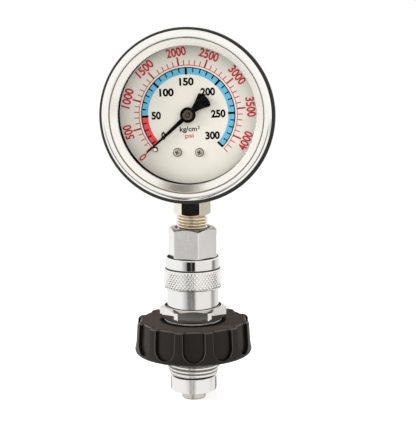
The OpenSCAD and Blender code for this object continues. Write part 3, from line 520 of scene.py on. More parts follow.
# Geometry node helpers
def new_tree(name, inputs):
    inputs["Finish"] = None
    return new_group(name, "GeometryNodeTree", inputs, {"Geometry": "NodeSocketGeometry"})


def helix_curve(tree, given, radius, resolution):
    return output(tree, "GeometryNodeCurveSpiral", {
        "Resolution": resolution, "Rotations": given["Turns"], "Start Radius": radius, "End Radius": radius,
        "Height": given["Length"]})


def swept(tree, curve, section):
    return output(tree, "GeometryNodeCurveToMesh", {
        "Curve": curve, "Profile Curve": section, "Fill Caps": True})


def lifted(tree, geometry, height):
    return output(tree, "GeometryNodeTransform", {
        "Geometry": geometry, "Translation": vector_node(tree, 0.0, 0.0, height)})


def placed(tree, geometry, position):
    return output(tree, "GeometryNodeSetPosition", {"Geometry": geometry, "Position": position})


def copies(tree, count, position, piece, turn, scale=None):
    """Copies of a piece, each at its own place and turn."""
    points = output(tree, "GeometryNodeMeshLine", {"Count": count})
    return output(tree, "GeometryNodeInstanceOnPoints", {
        "Points": placed(tree, points, position), "Instance": piece, "Scale": scale,
        "Rotation": output(tree, "FunctionNodeEulerToRotation", {0: turn})})


def close_tree(tree, geometry, given, made):
    """Ends a tree in real geometry with its finish."""
    real = output(tree, "GeometryNodeRealizeInstances", {0: geometry})
    paint = add(tree, "GeometryNodeSetMaterial", {"Geometry": real, "Material": given["Finish"]})
    feed(tree, made[0], paint.outputs[0])
    return tree


def grow(name, tree, values):
    """Plain mesh object grown by a tree with its inputs set."""
    obj = link_object(name, bpy.data.meshes.new(name))
    modifier = obj.modifiers.new("grow", "NODES")
    modifier.node_group = tree
    for item in tree.interface.items_tree:
        if item.item_type == "SOCKET" and item.in_out == "INPUT" and item.name in values:
            modifier[item.identifier] = values[item.name]
    return plain_mesh(obj)


def make_thread_tree():
    """Helical ridge on a core: a four-sided section swept up a helix, its crest cut down at the start."""
    tree, given, made = new_tree("thread_ridge", {
        "Root Radius": 0.01, "Turns": 4.0, "Length": 0.01, "Bottom": 0.0, "Depth": 0.001, "Base": 0.001,
        "Crest": 0.0003, "Taper": 0.002, "Taper Depth": 0.0005})
    helix = helix_curve(tree, given, given["Root Radius"], 72)
    upright = output(tree, "GeometryNodeSetCurveNormal", {0: helix}, mode="Z_UP")
    half_base = times(given["Base"], 0.5)
    half_crest = times(given["Crest"], 0.5)
    sunk = 0.1 * MM
    crest = times(given["Depth"], -1.0)
    corners = [(sunk, half_base), (crest, half_crest),
               (crest, times(half_crest, -1.0)),
               (sunk, times(half_base, -1.0))]
    section = add(tree, "GeometryNodeCurvePrimitiveQuadrilateral", {
        f"Point {k}": vector_node(tree, x, y, 0.0) for k, (x, y) in enumerate(corners, 1)}, mode="POINTS")
    here = output(tree, "GeometryNodeInputPosition")
    x, y, z = add(tree, "ShaderNodeSeparateXYZ", {0: here}).outputs
    across = calc("SQRT", plus(times(x, x), times(y, y)))
    full = plus(given["Root Radius"], given["Depth"])
    limit = output(tree, "ShaderNodeMapRange", {
        "Value": z, "From Max": given["Taper"], "To Max": full,
        "To Min": calc("SUBTRACT", full, given["Taper Depth"])})
    share = calc("DIVIDE", calc("MINIMUM", across, limit), across)
    drawn_in = vector_node(
        tree, times(x, share), times(y, share), z)
    ridge = placed(tree, swept(tree, upright, section.outputs[0]), drawn_in)
    return close_tree(tree, lifted(tree, ridge, given["Bottom"]), given, made)


def make_coil_tree():
    """Round wire swept up a helix."""
    tree, given, made = new_tree("coil_wire", {
        "Radius": 0.01, "Turns": 4.0, "Length": 0.01, "Bottom": 0.0, "Wire": 0.001})
    helix = helix_curve(tree, given, given["Radius"], 48)
    section = output(tree, "GeometryNodeCurvePrimitiveCircle", {
        "Resolution": 12, "Radius": times(given["Wire"], 0.5)})
    return close_tree(tree, lifted(tree, swept(tree, helix, section), given["Bottom"]), given, made)


def make_knurl_tree():
    """Staggered rows of small pyramids round a band."""
    tree, given, made = new_tree("diamond_knurl", {
        "Radius": 0.0125, "Bottom": 0.0, "Height": 0.007, "Around": 60, "Rows": 9, "Depth": 0.0003})
    index = output(tree, "GeometryNodeInputIndex")
    row = calc("FLOOR", calc("DIVIDE", index, given["Around"]))
    column = calc("MODULO", index, given["Around"])
    stagger = times(calc("MODULO", row, 2.0), 0.5)
    turn = calc("DIVIDE", 2 * math.pi, given["Around"])
    angle = times(plus(column, stagger), turn)
    pitch = calc("DIVIDE", given["Height"], plus(given["Rows"], 1.0))
    level = calc("MULTIPLY_ADD", plus(row, 1.0), pitch, given["Bottom"])
    position = vector_node(
        tree, times(calc("COSINE", angle), given["Radius"]),
        times(calc("SINE", angle), given["Radius"]), level)
    tip_share, wide_share, tall_share = 0.36, 0.43, 0.86
    diamond = add(tree, "GeometryNodeMeshCone", {
        "Vertices": 4, "Radius Top": tip_share, "Radius Bottom": 1.0, "Depth": 1.0}, fill_type="NGON")
    outward = vector_node(tree, math.pi / 2, 0.0, plus(angle, math.pi / 2))
    wide = times(times(turn, given["Radius"]), wide_share)
    tall = times(pitch, tall_share)
    total = times(given["Around"], given["Rows"])
    size = vector_node(tree, wide, tall, given["Depth"])
    diamonds = copies(tree, total, position, diamond.outputs[0], outward, size)
    return close_tree(tree, diamonds, given, made)


def make_tick_tree():
    """Bars fanned about the dial's centre, on the dial's face."""
    tree, given, made = new_tree("dial_ticks", {
        "Count": 10, "First": 0.0, "Step": 0.1, "Inner": 0.017, "Outer": 0.019, "Width": 0.0004,
        "Level": 0.0128, "Thickness": 0.00003})
    index = output(tree, "GeometryNodeInputIndex")
    angle = calc("MULTIPLY_ADD", index, given["Step"], given["First"])
    middle = times(plus(given["Inner"], given["Outer"]), 0.5)
    length = calc("SUBTRACT", given["Outer"], given["Inner"])
    position = vector_node(
        tree, times(calc("SINE", angle), middle),
        times(calc("COSINE", angle), middle), given["Level"])
    bar = output(tree, "GeometryNodeMeshCube", {
        "Size": vector_node(tree, given["Width"], length, given["Thickness"])})
    clockwise = vector_node(tree, 0.0, 0.0, times(angle, -1.0))
    stand = output(tree, "GeometryNodeTransform", {
        "Geometry": copies(tree, given["Count"], position, bar, clockwise),
        "Translation": (0, 0, GAUGE_Z * MM), "Rotation": (math.pi / 2, 0, 0)})
    return close_tree(tree, stand, given, made)


THREAD_TREE = make_thread_tree()
COIL_TREE = make_coil_tree()
KNURL_TREE = make_knurl_tree()
TICK_TREE = make_tick_tree()


def join(name, objects):
    """One object from several plain ones, keeping their finishes."""
    work = bmesh.new()
    materials = []
    for obj in objects:
        part = bmesh.new()
        part.from_mesh(obj.data)
        bmesh.ops.recalc_face_normals(part, faces=part.faces)
        own = [slot.material for slot in obj.material_slots]
        for face in part.faces:
            material = own[face.material_index] if own else None
            if material not in materials:
                materials.append(material)
            face.material_index = materials.index(material)
        spare = bpy.data.meshes.new("spare")
        part.to_mesh(spare)
        part.free()
        work.from_mesh(spare)
        bpy.data.meshes.remove(spare)
        bpy.data.objects.remove(obj)
    data = bpy.data.meshes.new(name)
    work.to_mesh(data)
    work.free()
    for material in materials:
        data.materials.append(material)
    return link_object(name, data)


# Gauge case, bezel and bevel ring
def build_case():
    back = CASE_BACK
    front = WINDOW_FRONT
    neck = 32.8
    case = lathe("gauge_case", [
        (0, back + 0.5), (26.0, back + 0.5, 0.3), (26.7, back, 0.3), (31.6, back, 2.0),
        (31.6, 9.6, 0.6), (neck, 10.8, 0.5), (36.5, 10.8, 0.6), (36.5, RIM_FRONT, 0.6),
        (33.9, RIM_FRONT), (33.9, front), (31.9, front), (31.9, 15.0), (30.2, 15.0),
        (30.2, back + 3.4, 0.8), (28.2, back + 1.4, 0.8), (0, back + 1.4)], CASE_BLACK, gauge=True)
    # The flange sits a little off the case's centre
    places = np.array([v.co for v in case.data.vertices]) / MM
    reach = np.hypot(places[:, 0], places[:, 2] - GAUGE_Z)
    share = np.clip((reach - neck) / 3.0, 0, 1)
    shift(case, share[:, None] * np.array([-0.4, 0, -0.6]))
    settle(case, "gauge", "case")
    crest = front + 3.9
    bezel = lathe("bezel_ring", [
        (34.8, RIM_FRONT + 0.05, 0.2), (34.8, crest, 2.4), (31.85, crest - 0.12, 0.25), (31.85, 18.85),
        (33.05, 18.85), (33.05, 18.05), (33.95, 18.05), (33.95, RIM_FRONT + 0.05)],
        BEZEL_STEEL, gauge=True, count=240)
    settle(bezel, "gauge", "bezel")
    bevel = lathe("bevel_ring_turned", [
        (28.5, front), (33.0, front), (33.0, 18.8), (31.45, 18.8), (31.45, 21.1, 0.12),
        (31.2, 21.15, 0.12), (28.7, 18.9, 0.1), (28.5, 18.65, 0.1)],
        BEVEL_STEEL, gauge=True, count=240)
    settle(bevel, "gauge", "bevel_ring")
    groove = lathe("bezel_groove", [
        (31.46, 18.86), (31.84, 18.86), (31.84, 21.05), (31.46, 20.7)],
        GROOVE_BROWN, gauge=True, count=240)
    settle(groove, "gauge")


build_case()


# Dial print
INK_LEVEL = DIAL_FRONT + 0.015
INK_T = 0.03
ZERO = -137.3
UNIT = 269.8 / 300
START = -132.3
PSI_END = 133.3
PSI_FIGURES_R = 26.1
DIAL_TILT = -2.3
PSI_RUNS = [(200, 1500, -125.0, 6.288), (1600, 2500, -34.8, 6.06), (2600, 4300, 26.1, 6.306)]


def psi_angle(number):
    """Dial angle of a figure on the red scale, whose three runs have slightly different steps."""
    for low, high, first, step in PSI_RUNS:
        if low <= number <= high:
            return first + (number - low) / 100 * step
    return START - 0.4


def arc_band(name, inner, outer, first, last, material, level=INK_LEVEL):
    """Flat band of ink between two radii and two dial angles."""
    steps = max(8, int(abs(last - first) / 1.5))
    angles = np.radians(np.linspace(first, last, steps + 1))
    points = []
    for height in (level - INK_T / 2, level + INK_T / 2):
        for radius in (inner, outer):
            points += [(radius * math.sin(a), -height, GAUGE_Z + radius * math.cos(a)) for a in angles]
    n = steps + 1
    low_in, low_out, high_in, high_out = 0, n, 2 * n, 3 * n
    faces = []
    for k in range(steps):
        faces += [(high_in + k, high_in + k + 1, high_out + k + 1, high_out + k),
                  (low_in + k, low_out + k, low_out + k + 1, low_in + k + 1),
                  (low_in + k, low_in + k + 1, high_in + k + 1, high_in + k),
                  (low_out + k, high_out + k, high_out + k + 1, low_out + k + 1)]
    for k in (0, steps):
        faces.append((low_in + k, high_in + k, high_out + k, low_out + k))
    return solid(name, points, faces, [material])


def ticks(name, count, first, step, inner, outer, width, material, level=INK_LEVEL):
    return grow(name, TICK_TREE, {
        "Count": count, "First": math.radians(first), "Step": math.radians(step), "Inner": inner * MM,
        "Outer": outer * MM, "Width": width * MM, "Level": level * MM, "Thickness": INK_T * MM,
        "Finish": material})


def lettering(name, words, width, height, x, y, turn, material, weight=0.0):
    """Words as a thin mesh on the dial, fitted to a width and height, turned clockwise."""
    curve = bpy.data.curves.new(name, "FONT")
    curve.body = words
    curve.extrude = 0.05
    curve.offset = weight
    curve.resolution_u = 6
    obj = link_object(name, curve)
    data = final_mesh(obj)
    bpy.data.objects.remove(obj)
    places = np.array([v.co for v in data.vertices])
    low = places.min(axis=0)
    high = places.max(axis=0)
    spot = (places - (low + high) / 2) / (high - low)
    spot = spot * np.array([width, height, INK_T])
    c = math.cos(math.radians(turn))
    s = math.sin(math.radians(turn))
    right = spot[:, 0] * c + spot[:, 1] * s + x
    up = -spot[:, 0] * s + spot[:, 1] * c + y
    placed = np.stack([right, -(spot[:, 2] + INK_LEVEL), up + GAUGE_Z], axis=1)
    data.vertices.foreach_set("co", (placed * MM).astype(np.float32).ravel())
    data.materials.clear()
    data.materials.append(material)
    data.update()
    return link_object(name, data)


def build_print():
    red_end = ZERO + 50 * UNIT
    blue_end = ZERO + 300 * UNIT
    psi_r = 20.4
    band_in, band_out = 16.7, 19.25
    reds = [arc_band("scale_circle", 20.28, 20.58, START, PSI_END, INK_RED),
            ticks("psi_start", 1, START + 0.9, 0, psi_r, 23.4, 0.75, INK_RED)]
    for low, high, first, step in PSI_RUNS:
        reds.append(ticks("psi_minor", (high - low) // 100 + 1, first, step, psi_r, 22.5, 0.4, INK_RED))
    for number in range(500, 4001, 500):
        reds.append(ticks("psi_major", 1, psi_angle(number), 0, psi_r, 24.0, 0.7, INK_RED))
    for number in range(0, 4001, 500):
        angle = psi_angle(number)
        width = {1: 1.9, 3: 6.0, 4: 8.2}[len(str(number))]
        x = PSI_FIGURES_R * math.sin(math.radians(angle))
        y = PSI_FIGURES_R * math.cos(math.radians(angle))
        turn = angle + (180 if number == 4000 else 0)
        reds.append(lettering(f"psi_{number}", str(number), width, 3.75, x, y, turn, INK_RED, 0.03))
    reds.append(lettering("psi_words", "psi", 3.5, 2.3, 0.5, -8.95, DIAL_TILT, INK_RED, 0.018))
    settle(join("dial_print_red", reds), "gauge")
    settle(arc_band("dial_band_red", band_in, band_out, START, red_end, INK_BAND_RED), "gauge")
    settle(arc_band("dial_band_blue", band_in, band_out, red_end, blue_end, INK_BLUE), "gauge")
    over = INK_LEVEL + INK_T
    blacks = [arc_band("band_line", 19.2, 19.62, START, blue_end, INK_BLACK),
              # A thin black ring at the dial's edge, under the bevel ring, is painted shade for the gap
              # there.
              arc_band("dial_edge_gap_shade", 28.55, 28.68, -180, 180, INK_BLACK),
              ticks("kg_minor", 30, ZERO + 10 * UNIT, 10 * UNIT, 17.6, 19.5, 0.5, INK_BLACK, over),
              ticks("kg_major", 6, ZERO + 50 * UNIT, 50 * UNIT, 16.55, 19.6, 0.9, INK_BLACK, over)]
    spots = {0: (-10.4, -8.7), 50: (-13.3, -0.33), 100: (-8.9, 9.2), 150: (-0.58, 13.64),
             200: (8.25, 9.5), 250: (12.5, 0.5), 300: (10.1, -8.5)}
    for number, (x, y) in spots.items():
        width = {1: 1.75, 2: 3.95, 3: 6.0}[len(str(number))]
        blacks.append(lettering(f"kg_{number}", str(number), width, 3.3, x, y, DIAL_TILT, INK_BLACK, 0.045))
    blacks.append(lettering("kg_words", "kg/cm", 7.2, 2.75, 0.05, -6.15, DIAL_TILT, INK_BLACK, 0.026))
    blacks.append(lettering("kg_power", "2", 0.85, 1.25, 4.35, -5.1, DIAL_TILT, INK_BLACK, 0.035))
    settle(join("dial_print_black", blacks), "gauge")


build_print()


# Pointer and its hub
POINTER_REST = -132.4


def build_pointer():
    """Black needle with a flared tail, cut from plate, on a round boss."""
    upper = [(24.2, 0), (23.7, 0.2), (2.2, 0.95)]
    for k in range(13):
        t = k / 12
        upper.append((-2.6 - 6.3 * t, 1.1 + 2.3 * t ** 1.35))
    upper += fillet([(-8.95, 3.42), (-9.75, 3.45, 0.7), (-10.5, 1.9, 0.9), (-10.75, 0)], 5)
    lower = [(x, -y) for x, y in upper[1:-1]][::-1]
    c = math.cos(math.radians(90 - POINTER_REST))
    s = math.sin(math.radians(90 - POINTER_REST))
    rings = [[(x * c - y * s, x * s + y * c, u) for x, y in upper + lower]
             for u in (POINTER_U, POINTER_U + 0.6)]
    plate = loft("pointer_plate", rings, [POINTER_BLACK], gauge=True, capped=True)
    edge = plate.modifiers.new("edge", "BEVEL")
    edge.width = 0.08 * MM
    edge.segments = 2
    edge.limit_method = "ANGLE"
    plain_mesh(plate)
    boss = lathe("pointer_boss", [
        (2.1, -0.4), (3.2, -0.4, 0.1), (3.2, 0.95, 0.25), (2.15, 0.95, 0.1), (2.1, 0.6)],
        POINTER_BLACK, gauge=True, count=96, base=POINTER_U)
    settle(join("pointer_needle", [plate, boss]), "needle", "pointer")
    hub = lathe("pointer_bush", [
        (0.72, -0.6), (1.8, -0.6), (1.8, 0.02), (2.08, 0.02), (2.08, 0.72, 0.12), (1.25, 0.78, 0.08),
        (1.15, 0.6, 0.05), (0.72, 0.6)], HUB_BRASS, gauge=True, count=96, base=POINTER_U)
    settle(hub, "needle", "pointer_hub")


build_pointer()


# Dial screws and stop pin
def build_dial_screws():
    """Pan heads with a cross recess painted dark as shade, each on a dark ring painted as shadow on the
    dial.
    """
    made = []
    for side in (-1, 1):
        head = lathe("screw_head", [
            (0, 0.2), (1.62, 0.2, 0.1), (1.6, 0.75, 0.35), (0.6, 1.0, 0.3), (0, 1.0)],
            SCREW_BEIGE, gauge=True, count=48, base=DIAL_FRONT)
        for turn in (20, 110):
            cutter = bmesh.new()
            bmesh.ops.create_cube(cutter, size=1.0)
            for vert in cutter.verts:
                narrow = 1.0 if vert.co.y < 0 else 0.7
                vert.co = Vector((vert.co.x * 2.4 * narrow, vert.co.y * 1.2 - DIAL_FRONT - 1.15,
                                  vert.co.z * 0.62 * narrow)) * MM
            bmesh.ops.rotate(cutter, verts=cutter.verts, cent=(0, 0, 0),
                             matrix=Quaternion((0, 1, 0), math.radians(turn)).to_matrix())
            bmesh.ops.translate(cutter, verts=cutter.verts, vec=(0, 0, GAUGE_Z * MM))
            cross = bmesh_object("screw_cross", cutter, SCREW_SHADE)
            cut = head.modifiers.new("cross", "BOOLEAN")
            cut.object = cross
            cut.solver = "EXACT"
            cut.material_mode = "TRANSFER"
            plain_mesh(head)
            bpy.data.objects.remove(cross)
        # A dark ring under each head, painted shadow where the head meets the dial.
        washer = lathe("screw_shadow_ring", [
            (0.9, 0), (1.86, 0), (1.86, 0.22, 0.08), (0.9, 0.22)],
            SCREW_SHADE, gauge=True, count=48, base=DIAL_FRONT)
        shank = lathe("screw_shank", [
            (0, -5.0), (0.88, -5.0, 0.2), (0.88, 0.1), (0, 0.1)],
            SCREW_BEIGE, gauge=True, count=32, base=DIAL_FRONT)
        screw = join("dial_screw", [head, washer, shank])
        shift(screw, (side * 4.6, 0, -15.6))
        made.append(screw)
    settle(join("dial_screws_crossed", made), "gauge", "dial_screws")


build_dial_screws()


def build_stop_pin():
    """Shouldered pin that the needle rests beside, its shoulder painted dark as shade round its pale top.
    """
    reach = 19.9
    aside = math.degrees(math.asin(1.3 / reach))
    turn = math.radians(90 - POINTER_REST + aside)
    low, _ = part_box("stop_pin")
    top = -low[1] / MM - DIAL_FRONT
    pin = lathe("stop_pin_turned", [
        (0, -0.8), (0.58, -0.8), (0.58, 0), (1.08, 0), (1.08, 0.45, 0.15), (0.74, 0.45, 0.05),
        (0.72, top - 0.1, 0.3), (0, top)], PIN_PALE, gauge=True, count=40, base=DIAL_FRONT,
        others=(SCREW_SHADE,), where=lambda r, z: r > 0.73)
    shift(pin, (reach * math.cos(turn), 0, reach * math.sin(turn)))
    settle(pin, "gauge", "stop_pin")


build_stop_pin()


# Pressure tube
def build_pressure_tube():
    turns = np.radians(np.linspace(255, -20, 97))
    bend = 22
    middle = 1
    half = 3.5
    thick = 1.5
    section = []
    for side in (1, -1):
        for k in range(9):
            a = math.pi * k / 8
            section.append((side * thick * math.cos(a), side * half + side * thick * math.sin(a)))
    inner = [(x * 0.6, u * 0.88) for x, u in section]
    rings = [[((bend + x) * math.cos(a), (bend + x) * math.sin(a), u - middle) for x, u in profile]
             for profile, way in ((section, turns), (inner, turns[::-1])) for a in way]
    tube = loft("pressure_tube", rings, [BRONZE], sharp=40, gauge=True)
    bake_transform(tube)
    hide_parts("bourdon_tube")


build_pressure_tube()


# Gauge stem: hexagon, thread, neck and block
def build_stem():
    angles = hex_angles(0)
    af = 14.0
    corner = af / 2 / math.cos(math.radians(30)) - 0.1
    lip = 6.75
    lower, upper = hex_edges(af, STEM_HEX_Z, STEM_HEX_TOP, lip, 30, corner, 0, angles)
    root = 5.78
    bore = 1.5
    neck_top = 86
    rings = turned_rings([
        (bore, STEM_END), (5.2, STEM_END), (root, STEM_END + 0.6), (root, STEM_HEX_Z - 0.5),
        (6.2, STEM_HEX_Z), (lip, STEM_HEX_Z)], angles)
    rings += [lower, *between(lower, upper, 3), upper]
    rings += turned_rings([
        (6.7, STEM_HEX_TOP), (6.5, STEM_HEX_TOP), (6.5, neck_top), (bore, neck_top)], angles)
    # Painted shade: the root between the thread's turns is darker nickel.
    plain, thread, valley = range(3)
    painted = [thread, thread, valley, thread, thread] + [plain] * (len(rings) - 5)
    body = loft("stem_body", rings, [NICKEL, NICKEL_THREAD, NICKEL_ROOT_SHADE], painted)
    pitch = 1.337
    bottom = STEM_END + 0.9
    length = STEM_HEX_Z - 0.75 - bottom
    ridge = grow("stem_thread", THREAD_TREE, {
        "Root Radius": root * MM, "Turns": length / pitch, "Length": length * MM, "Bottom": bottom * MM,
        "Depth": 0.795 * MM, "Base": 1.16 * MM, "Crest": 0.52 * MM, "Taper": 1.0 * MM,
        "Taper Depth": 0.5 * MM, "Finish": NICKEL_THREAD})
    block = bmesh.new()
    bmesh.ops.create_cube(block, size=1.0)
    low = np.array([-7.0, -12.0, 82.55])
    high = np.array([7.0, 6.5, 97.85])
    for vert in block.verts:
        vert.co = Vector(((np.array(vert.co) + 0.5) * (high - low) + low) * MM)
    bmesh.ops.bevel(block, geom=block.edges[:], offset=0.4 * MM, segments=2, affect="EDGES")
    settle(join("stem_nickelled", [body, ridge, bmesh_object("stem_block", block, NICKEL)]),
           "gauge", "gauge_stem")


build_stem()


# Plug with its hexagon
def build_plug():
    turn = -11
    angles = hex_angles(turn)
    af = 19.0
    corner = af / 2 / math.cos(math.radians(30)) - 0.12
    hex_low = PLUG_HEX_Z - 0.6
    hex_top = PLUG_HEX_TOP - 0.6
    lip = 9.35
    lower, upper = hex_edges(af, hex_low, hex_top, lip, 30, corner, turn, angles, 10.6)
    passage = 2
    bore = 6.62
    bore_end = 53.5
    plug_end = 39.0
    spigot_end = 32.5
    rings = turned_rings([
        (passage, spigot_end), (4.9, spigot_end, 0.5), (4.9, plug_end), (8, plug_end, 0.5),
        (8, 43.0, 0.2), (7.45, 44.6, 0.4), (7.45, 46.6, 0.4), (8, 48.2, 0.2), (8, hex_low)], angles)
    shank = len(rings)
    rings += turned_rings([(9.0, hex_low), (lip, hex_low)], angles)
    rings += [lower, *between(lower, upper, 4), upper]
    top = len(rings) - 1
    rings += turned_rings([
        (9.3, hex_top), (7.7, hex_top), (bore, hex_top - 1.0), (bore, bore_end),
        (passage, bore_end)], angles)
    # Painted shade: the top chamfer and flat are dark brown chrome, and the shank and bore dark chrome.
    flat, brown, shade = range(3)
    painted = [shade] * shank + [flat] * (top - shank) + [brown] * 2 + [shade] * (len(rings) - top - 2)
    settle(loft("plug_chromed", rings, [CHROME_FLAT, CHROME_BROWN_SHADE, CHROME_SHADE], painted),
           "gauge", "plug_adapter")


build_plug()


# Release sleeve with its knurl
LIP_DEPTH = 0.55


def sleeve_finish(r, z):
    """1 is painted shade: groove under the collar, lower face and inside. 2 is painted light, a pale lip
    inside the collar.
    """
    groove = KNURL_TOP - 0.05 < z < KNURL_TOP + 0.55 and r < 12.1
    if groove or z < SLEEVE_Z + 0.2:
        return 1
    if r < 11.3:
        return 2 if z > COLLAR_TOP - LIP_DEPTH else 1
    return 0


def build_sleeve():
    crest = 12.9
    depth = 0.36
    base = crest - depth
    sleeve = lathe("sleeve_turned", [
        (11.4, SLEEVE_Z, 0.15), (12.35, SLEEVE_Z, 0.2), (base, SLEEVE_Z + 0.45, 0.2),
        (base, KNURL_TOP - 0.45, 0.2), (12.4, KNURL_TOP, 0.2), (11.95, KNURL_TOP, 0.12),
        (11.75, KNURL_TOP + 0.35, 0.15), (11.9, KNURL_TOP + 0.6, 0.1), (11.9, COLLAR_TOP, 0.4),
        (11.0, COLLAR_TOP, 0.25), (11.0, COLLAR_TOP - LIP_DEPTH), (11.0, LAND_TOP, 0.05),
        (10.1, LAND_TOP, 0.1), (10.1, LAND_Z, 0.1), (11.4, LAND_Z)],
        CHROME, others=(CHROME_SHADE, CHROME_LIP_LIGHT), where=sleeve_finish)
    band_low = SLEEVE_Z + 0.55
    band_top = KNURL_TOP - 0.55
    # The band under the pyramids takes painted shade, darker than the knurl.
    band = lathe("sleeve_band", [
        (base - 0.1, band_low), (base + 0.02, band_low), (base + 0.02, band_top),
        (base - 0.1, band_top)], KNURL_GROOVE_SHADE)
    knurl = grow("sleeve_knurl", KNURL_TREE, {
        "Radius": base * MM, "Bottom": (SLEEVE_Z + 0.25) * MM, "Height": (KNURL_TOP - SLEEVE_Z - 0.5) * MM,
        "Around": 52, "Rows": 7, "Depth": depth * MM, "Finish": KNURL_CHROME})
    settle(join("sleeve_knurled", [sleeve, band, knurl]), "sleeve", "release_sleeve")
    room = LAND_Z - SKIRT_TOP
    spring = grow("sleeve_spring_coil", COIL_TREE, {
        "Radius": 10.65 * MM, "Turns": 4.0, "Length": (room - 0.8) * MM,
        "Bottom": (SKIRT_TOP + 0.4) * MM, "Wire": 0.7 * MM, "Finish": STEEL})
    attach(spring, "socket")
    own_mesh(spring)
    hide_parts("sleeve_spring")


build_sleeve()


# Socket with its skirt and large hexagon
def build_socket():
    turn = 5
    angles = hex_angles(turn)
    hex_low = SOCKET_HEX_Z + 0.7
    lower, upper = hex_edges(26.0, hex_low, SOCKET_HEX_TOP, 12.35, 25, 14.5, turn, angles, 14.2)
    neck_bore = 5.02
    passage = 2
    nose_seat = 12.5
    rings = turned_rings([(neck_bore, NOSE_TOP), (8, NOSE_TOP, 0.3), (8, SOCKET_HEX_Z)], angles)
    neck = len(rings)
    rings += turned_rings([(12.2, SOCKET_HEX_Z), (12.2, hex_low), (12.6, hex_low)], angles)
    flats = len(rings)
    rings += [lower, *between(lower, upper, 3), upper]
    ledge = len(rings)
    rings += turned_rings([
        (12.3, SOCKET_HEX_TOP), (12.1, SOCKET_HEX_TOP - 0.3), (11.3, SOCKET_HEX_TOP - 0.3, 0.2),
        (11.3, SKIRT_TOP, 0.35), (9.9, SKIRT_TOP), (9.9, 47.4), (9.2, 47.4), (9.2, 48.4), (9.9, 48.4),
        (9.9, TUBE_TOP, 0.3), (8.08, TUBE_TOP, 0.3), (8.08, 38.6), (4.98, 38.6), (4.98, 31.5),
        (passage, 31.5), (passage, nose_seat), (neck_bore, nose_seat)], angles)
    # The skirt runs from the ledge over two sharp and two rounded corners
    tube = ledge + 2 + 2 * (FILLET_STEPS + 1)
    # Painted shade: the neck under the hexagon and the ledge under the skirt are near black, the chamfer is
    # darker chrome, and the lower neck and the tube inside are dark chrome.
    satin, dark, shade, cone, black = range(5)
    painted = [shade] * neck + [black] * (flats - neck) + [dark] * (ledge - flats - 1) + [cone]
    painted += [black] * 3 + [satin] * (tube - ledge - 3) + [shade] * (len(rings) - tube)
    body = loft("socket_chromed", rings, [
        CHROME_SATIN, CHROME_DARK, CHROME_SHADE, CHROME_CONE_SHADE, RECESS_SHADOW_BLACK], painted)
    settle(body, "socket", "socket_body")
    washer = lathe("thrust_ring", [
        (8, SOCKET_HEX_Z - 0.7), (12.5, SOCKET_HEX_Z - 0.7, 0.2), (12.5, SOCKET_HEX_Z, 0.2),
        (8, SOCKET_HEX_Z)], WASHER_STEEL)
    settle(washer, "socket", "thrust_washer")


build_socket()


# Handwheel with its finger flutes
WHEEL_R = 25.7
WHEEL_DRAFT = 1.0
FLUTE_DEPTH = 1.6
FLUTE_HALF = 4.65
FLUTE_LOW = WHEEL_Z + 1.6
FLUTE_MID = FLUTE_LOW + FLUTE_HALF
FLUTE_TURN = -83.8


def flute_reach(z):
    """Half the width of a flute at height z, round at its lower end."""
    if z <= FLUTE_LOW:
        return 0.0
    if z < FLUTE_MID:
        return math.sqrt(FLUTE_HALF ** 2 - (FLUTE_MID - z) ** 2)
    return FLUTE_HALF


def wheel_row(z, inset):
    """One ring of the fluted side at height z, drawn in by inset."""
    flutes = 12
    edge_round = 0.26
    sector = math.pi / flutes
    fall = WHEEL_DRAFT * (z - WHEEL_Z) / (WHEEL_TOP - WHEEL_Z)
    outer = WHEEL_R - fall
    half = flute_reach(z)
    depth = FLUTE_DEPTH if half > 0 else 0.0
    edge = half / outer
    lip = (half + edge_round) / outer
    side = [(-sector + (sector - lip) * t, outer) for t in (0, 0.3, 0.6, 0.85, 1.0)]
    side += [(-lip + (lip - edge) * t, outer - min(edge_round, depth) * t * t) for t in (0.45, 0.8, 1.0)]
    side += [(-edge * 0.97, outer - depth * 0.55), (-edge * 0.93, outer - depth * 0.94)]
    side += [(-edge * 0.9, outer - depth)]
    middle = [(edge * t, outer - depth) for t in (-0.8, -0.4, 0.0, 0.4, 0.8)]
    across = side + middle + [(-a, r) for a, r in side[1:]][::-1]
    points = []
    for k in range(flutes):
        centre = math.radians(FLUTE_TURN) + k * 2 * sector
        points += [((r - inset) * math.cos(centre + a), (r - inset) * math.sin(centre + a), z)
                   for a, r in across]
    return np.array(points)


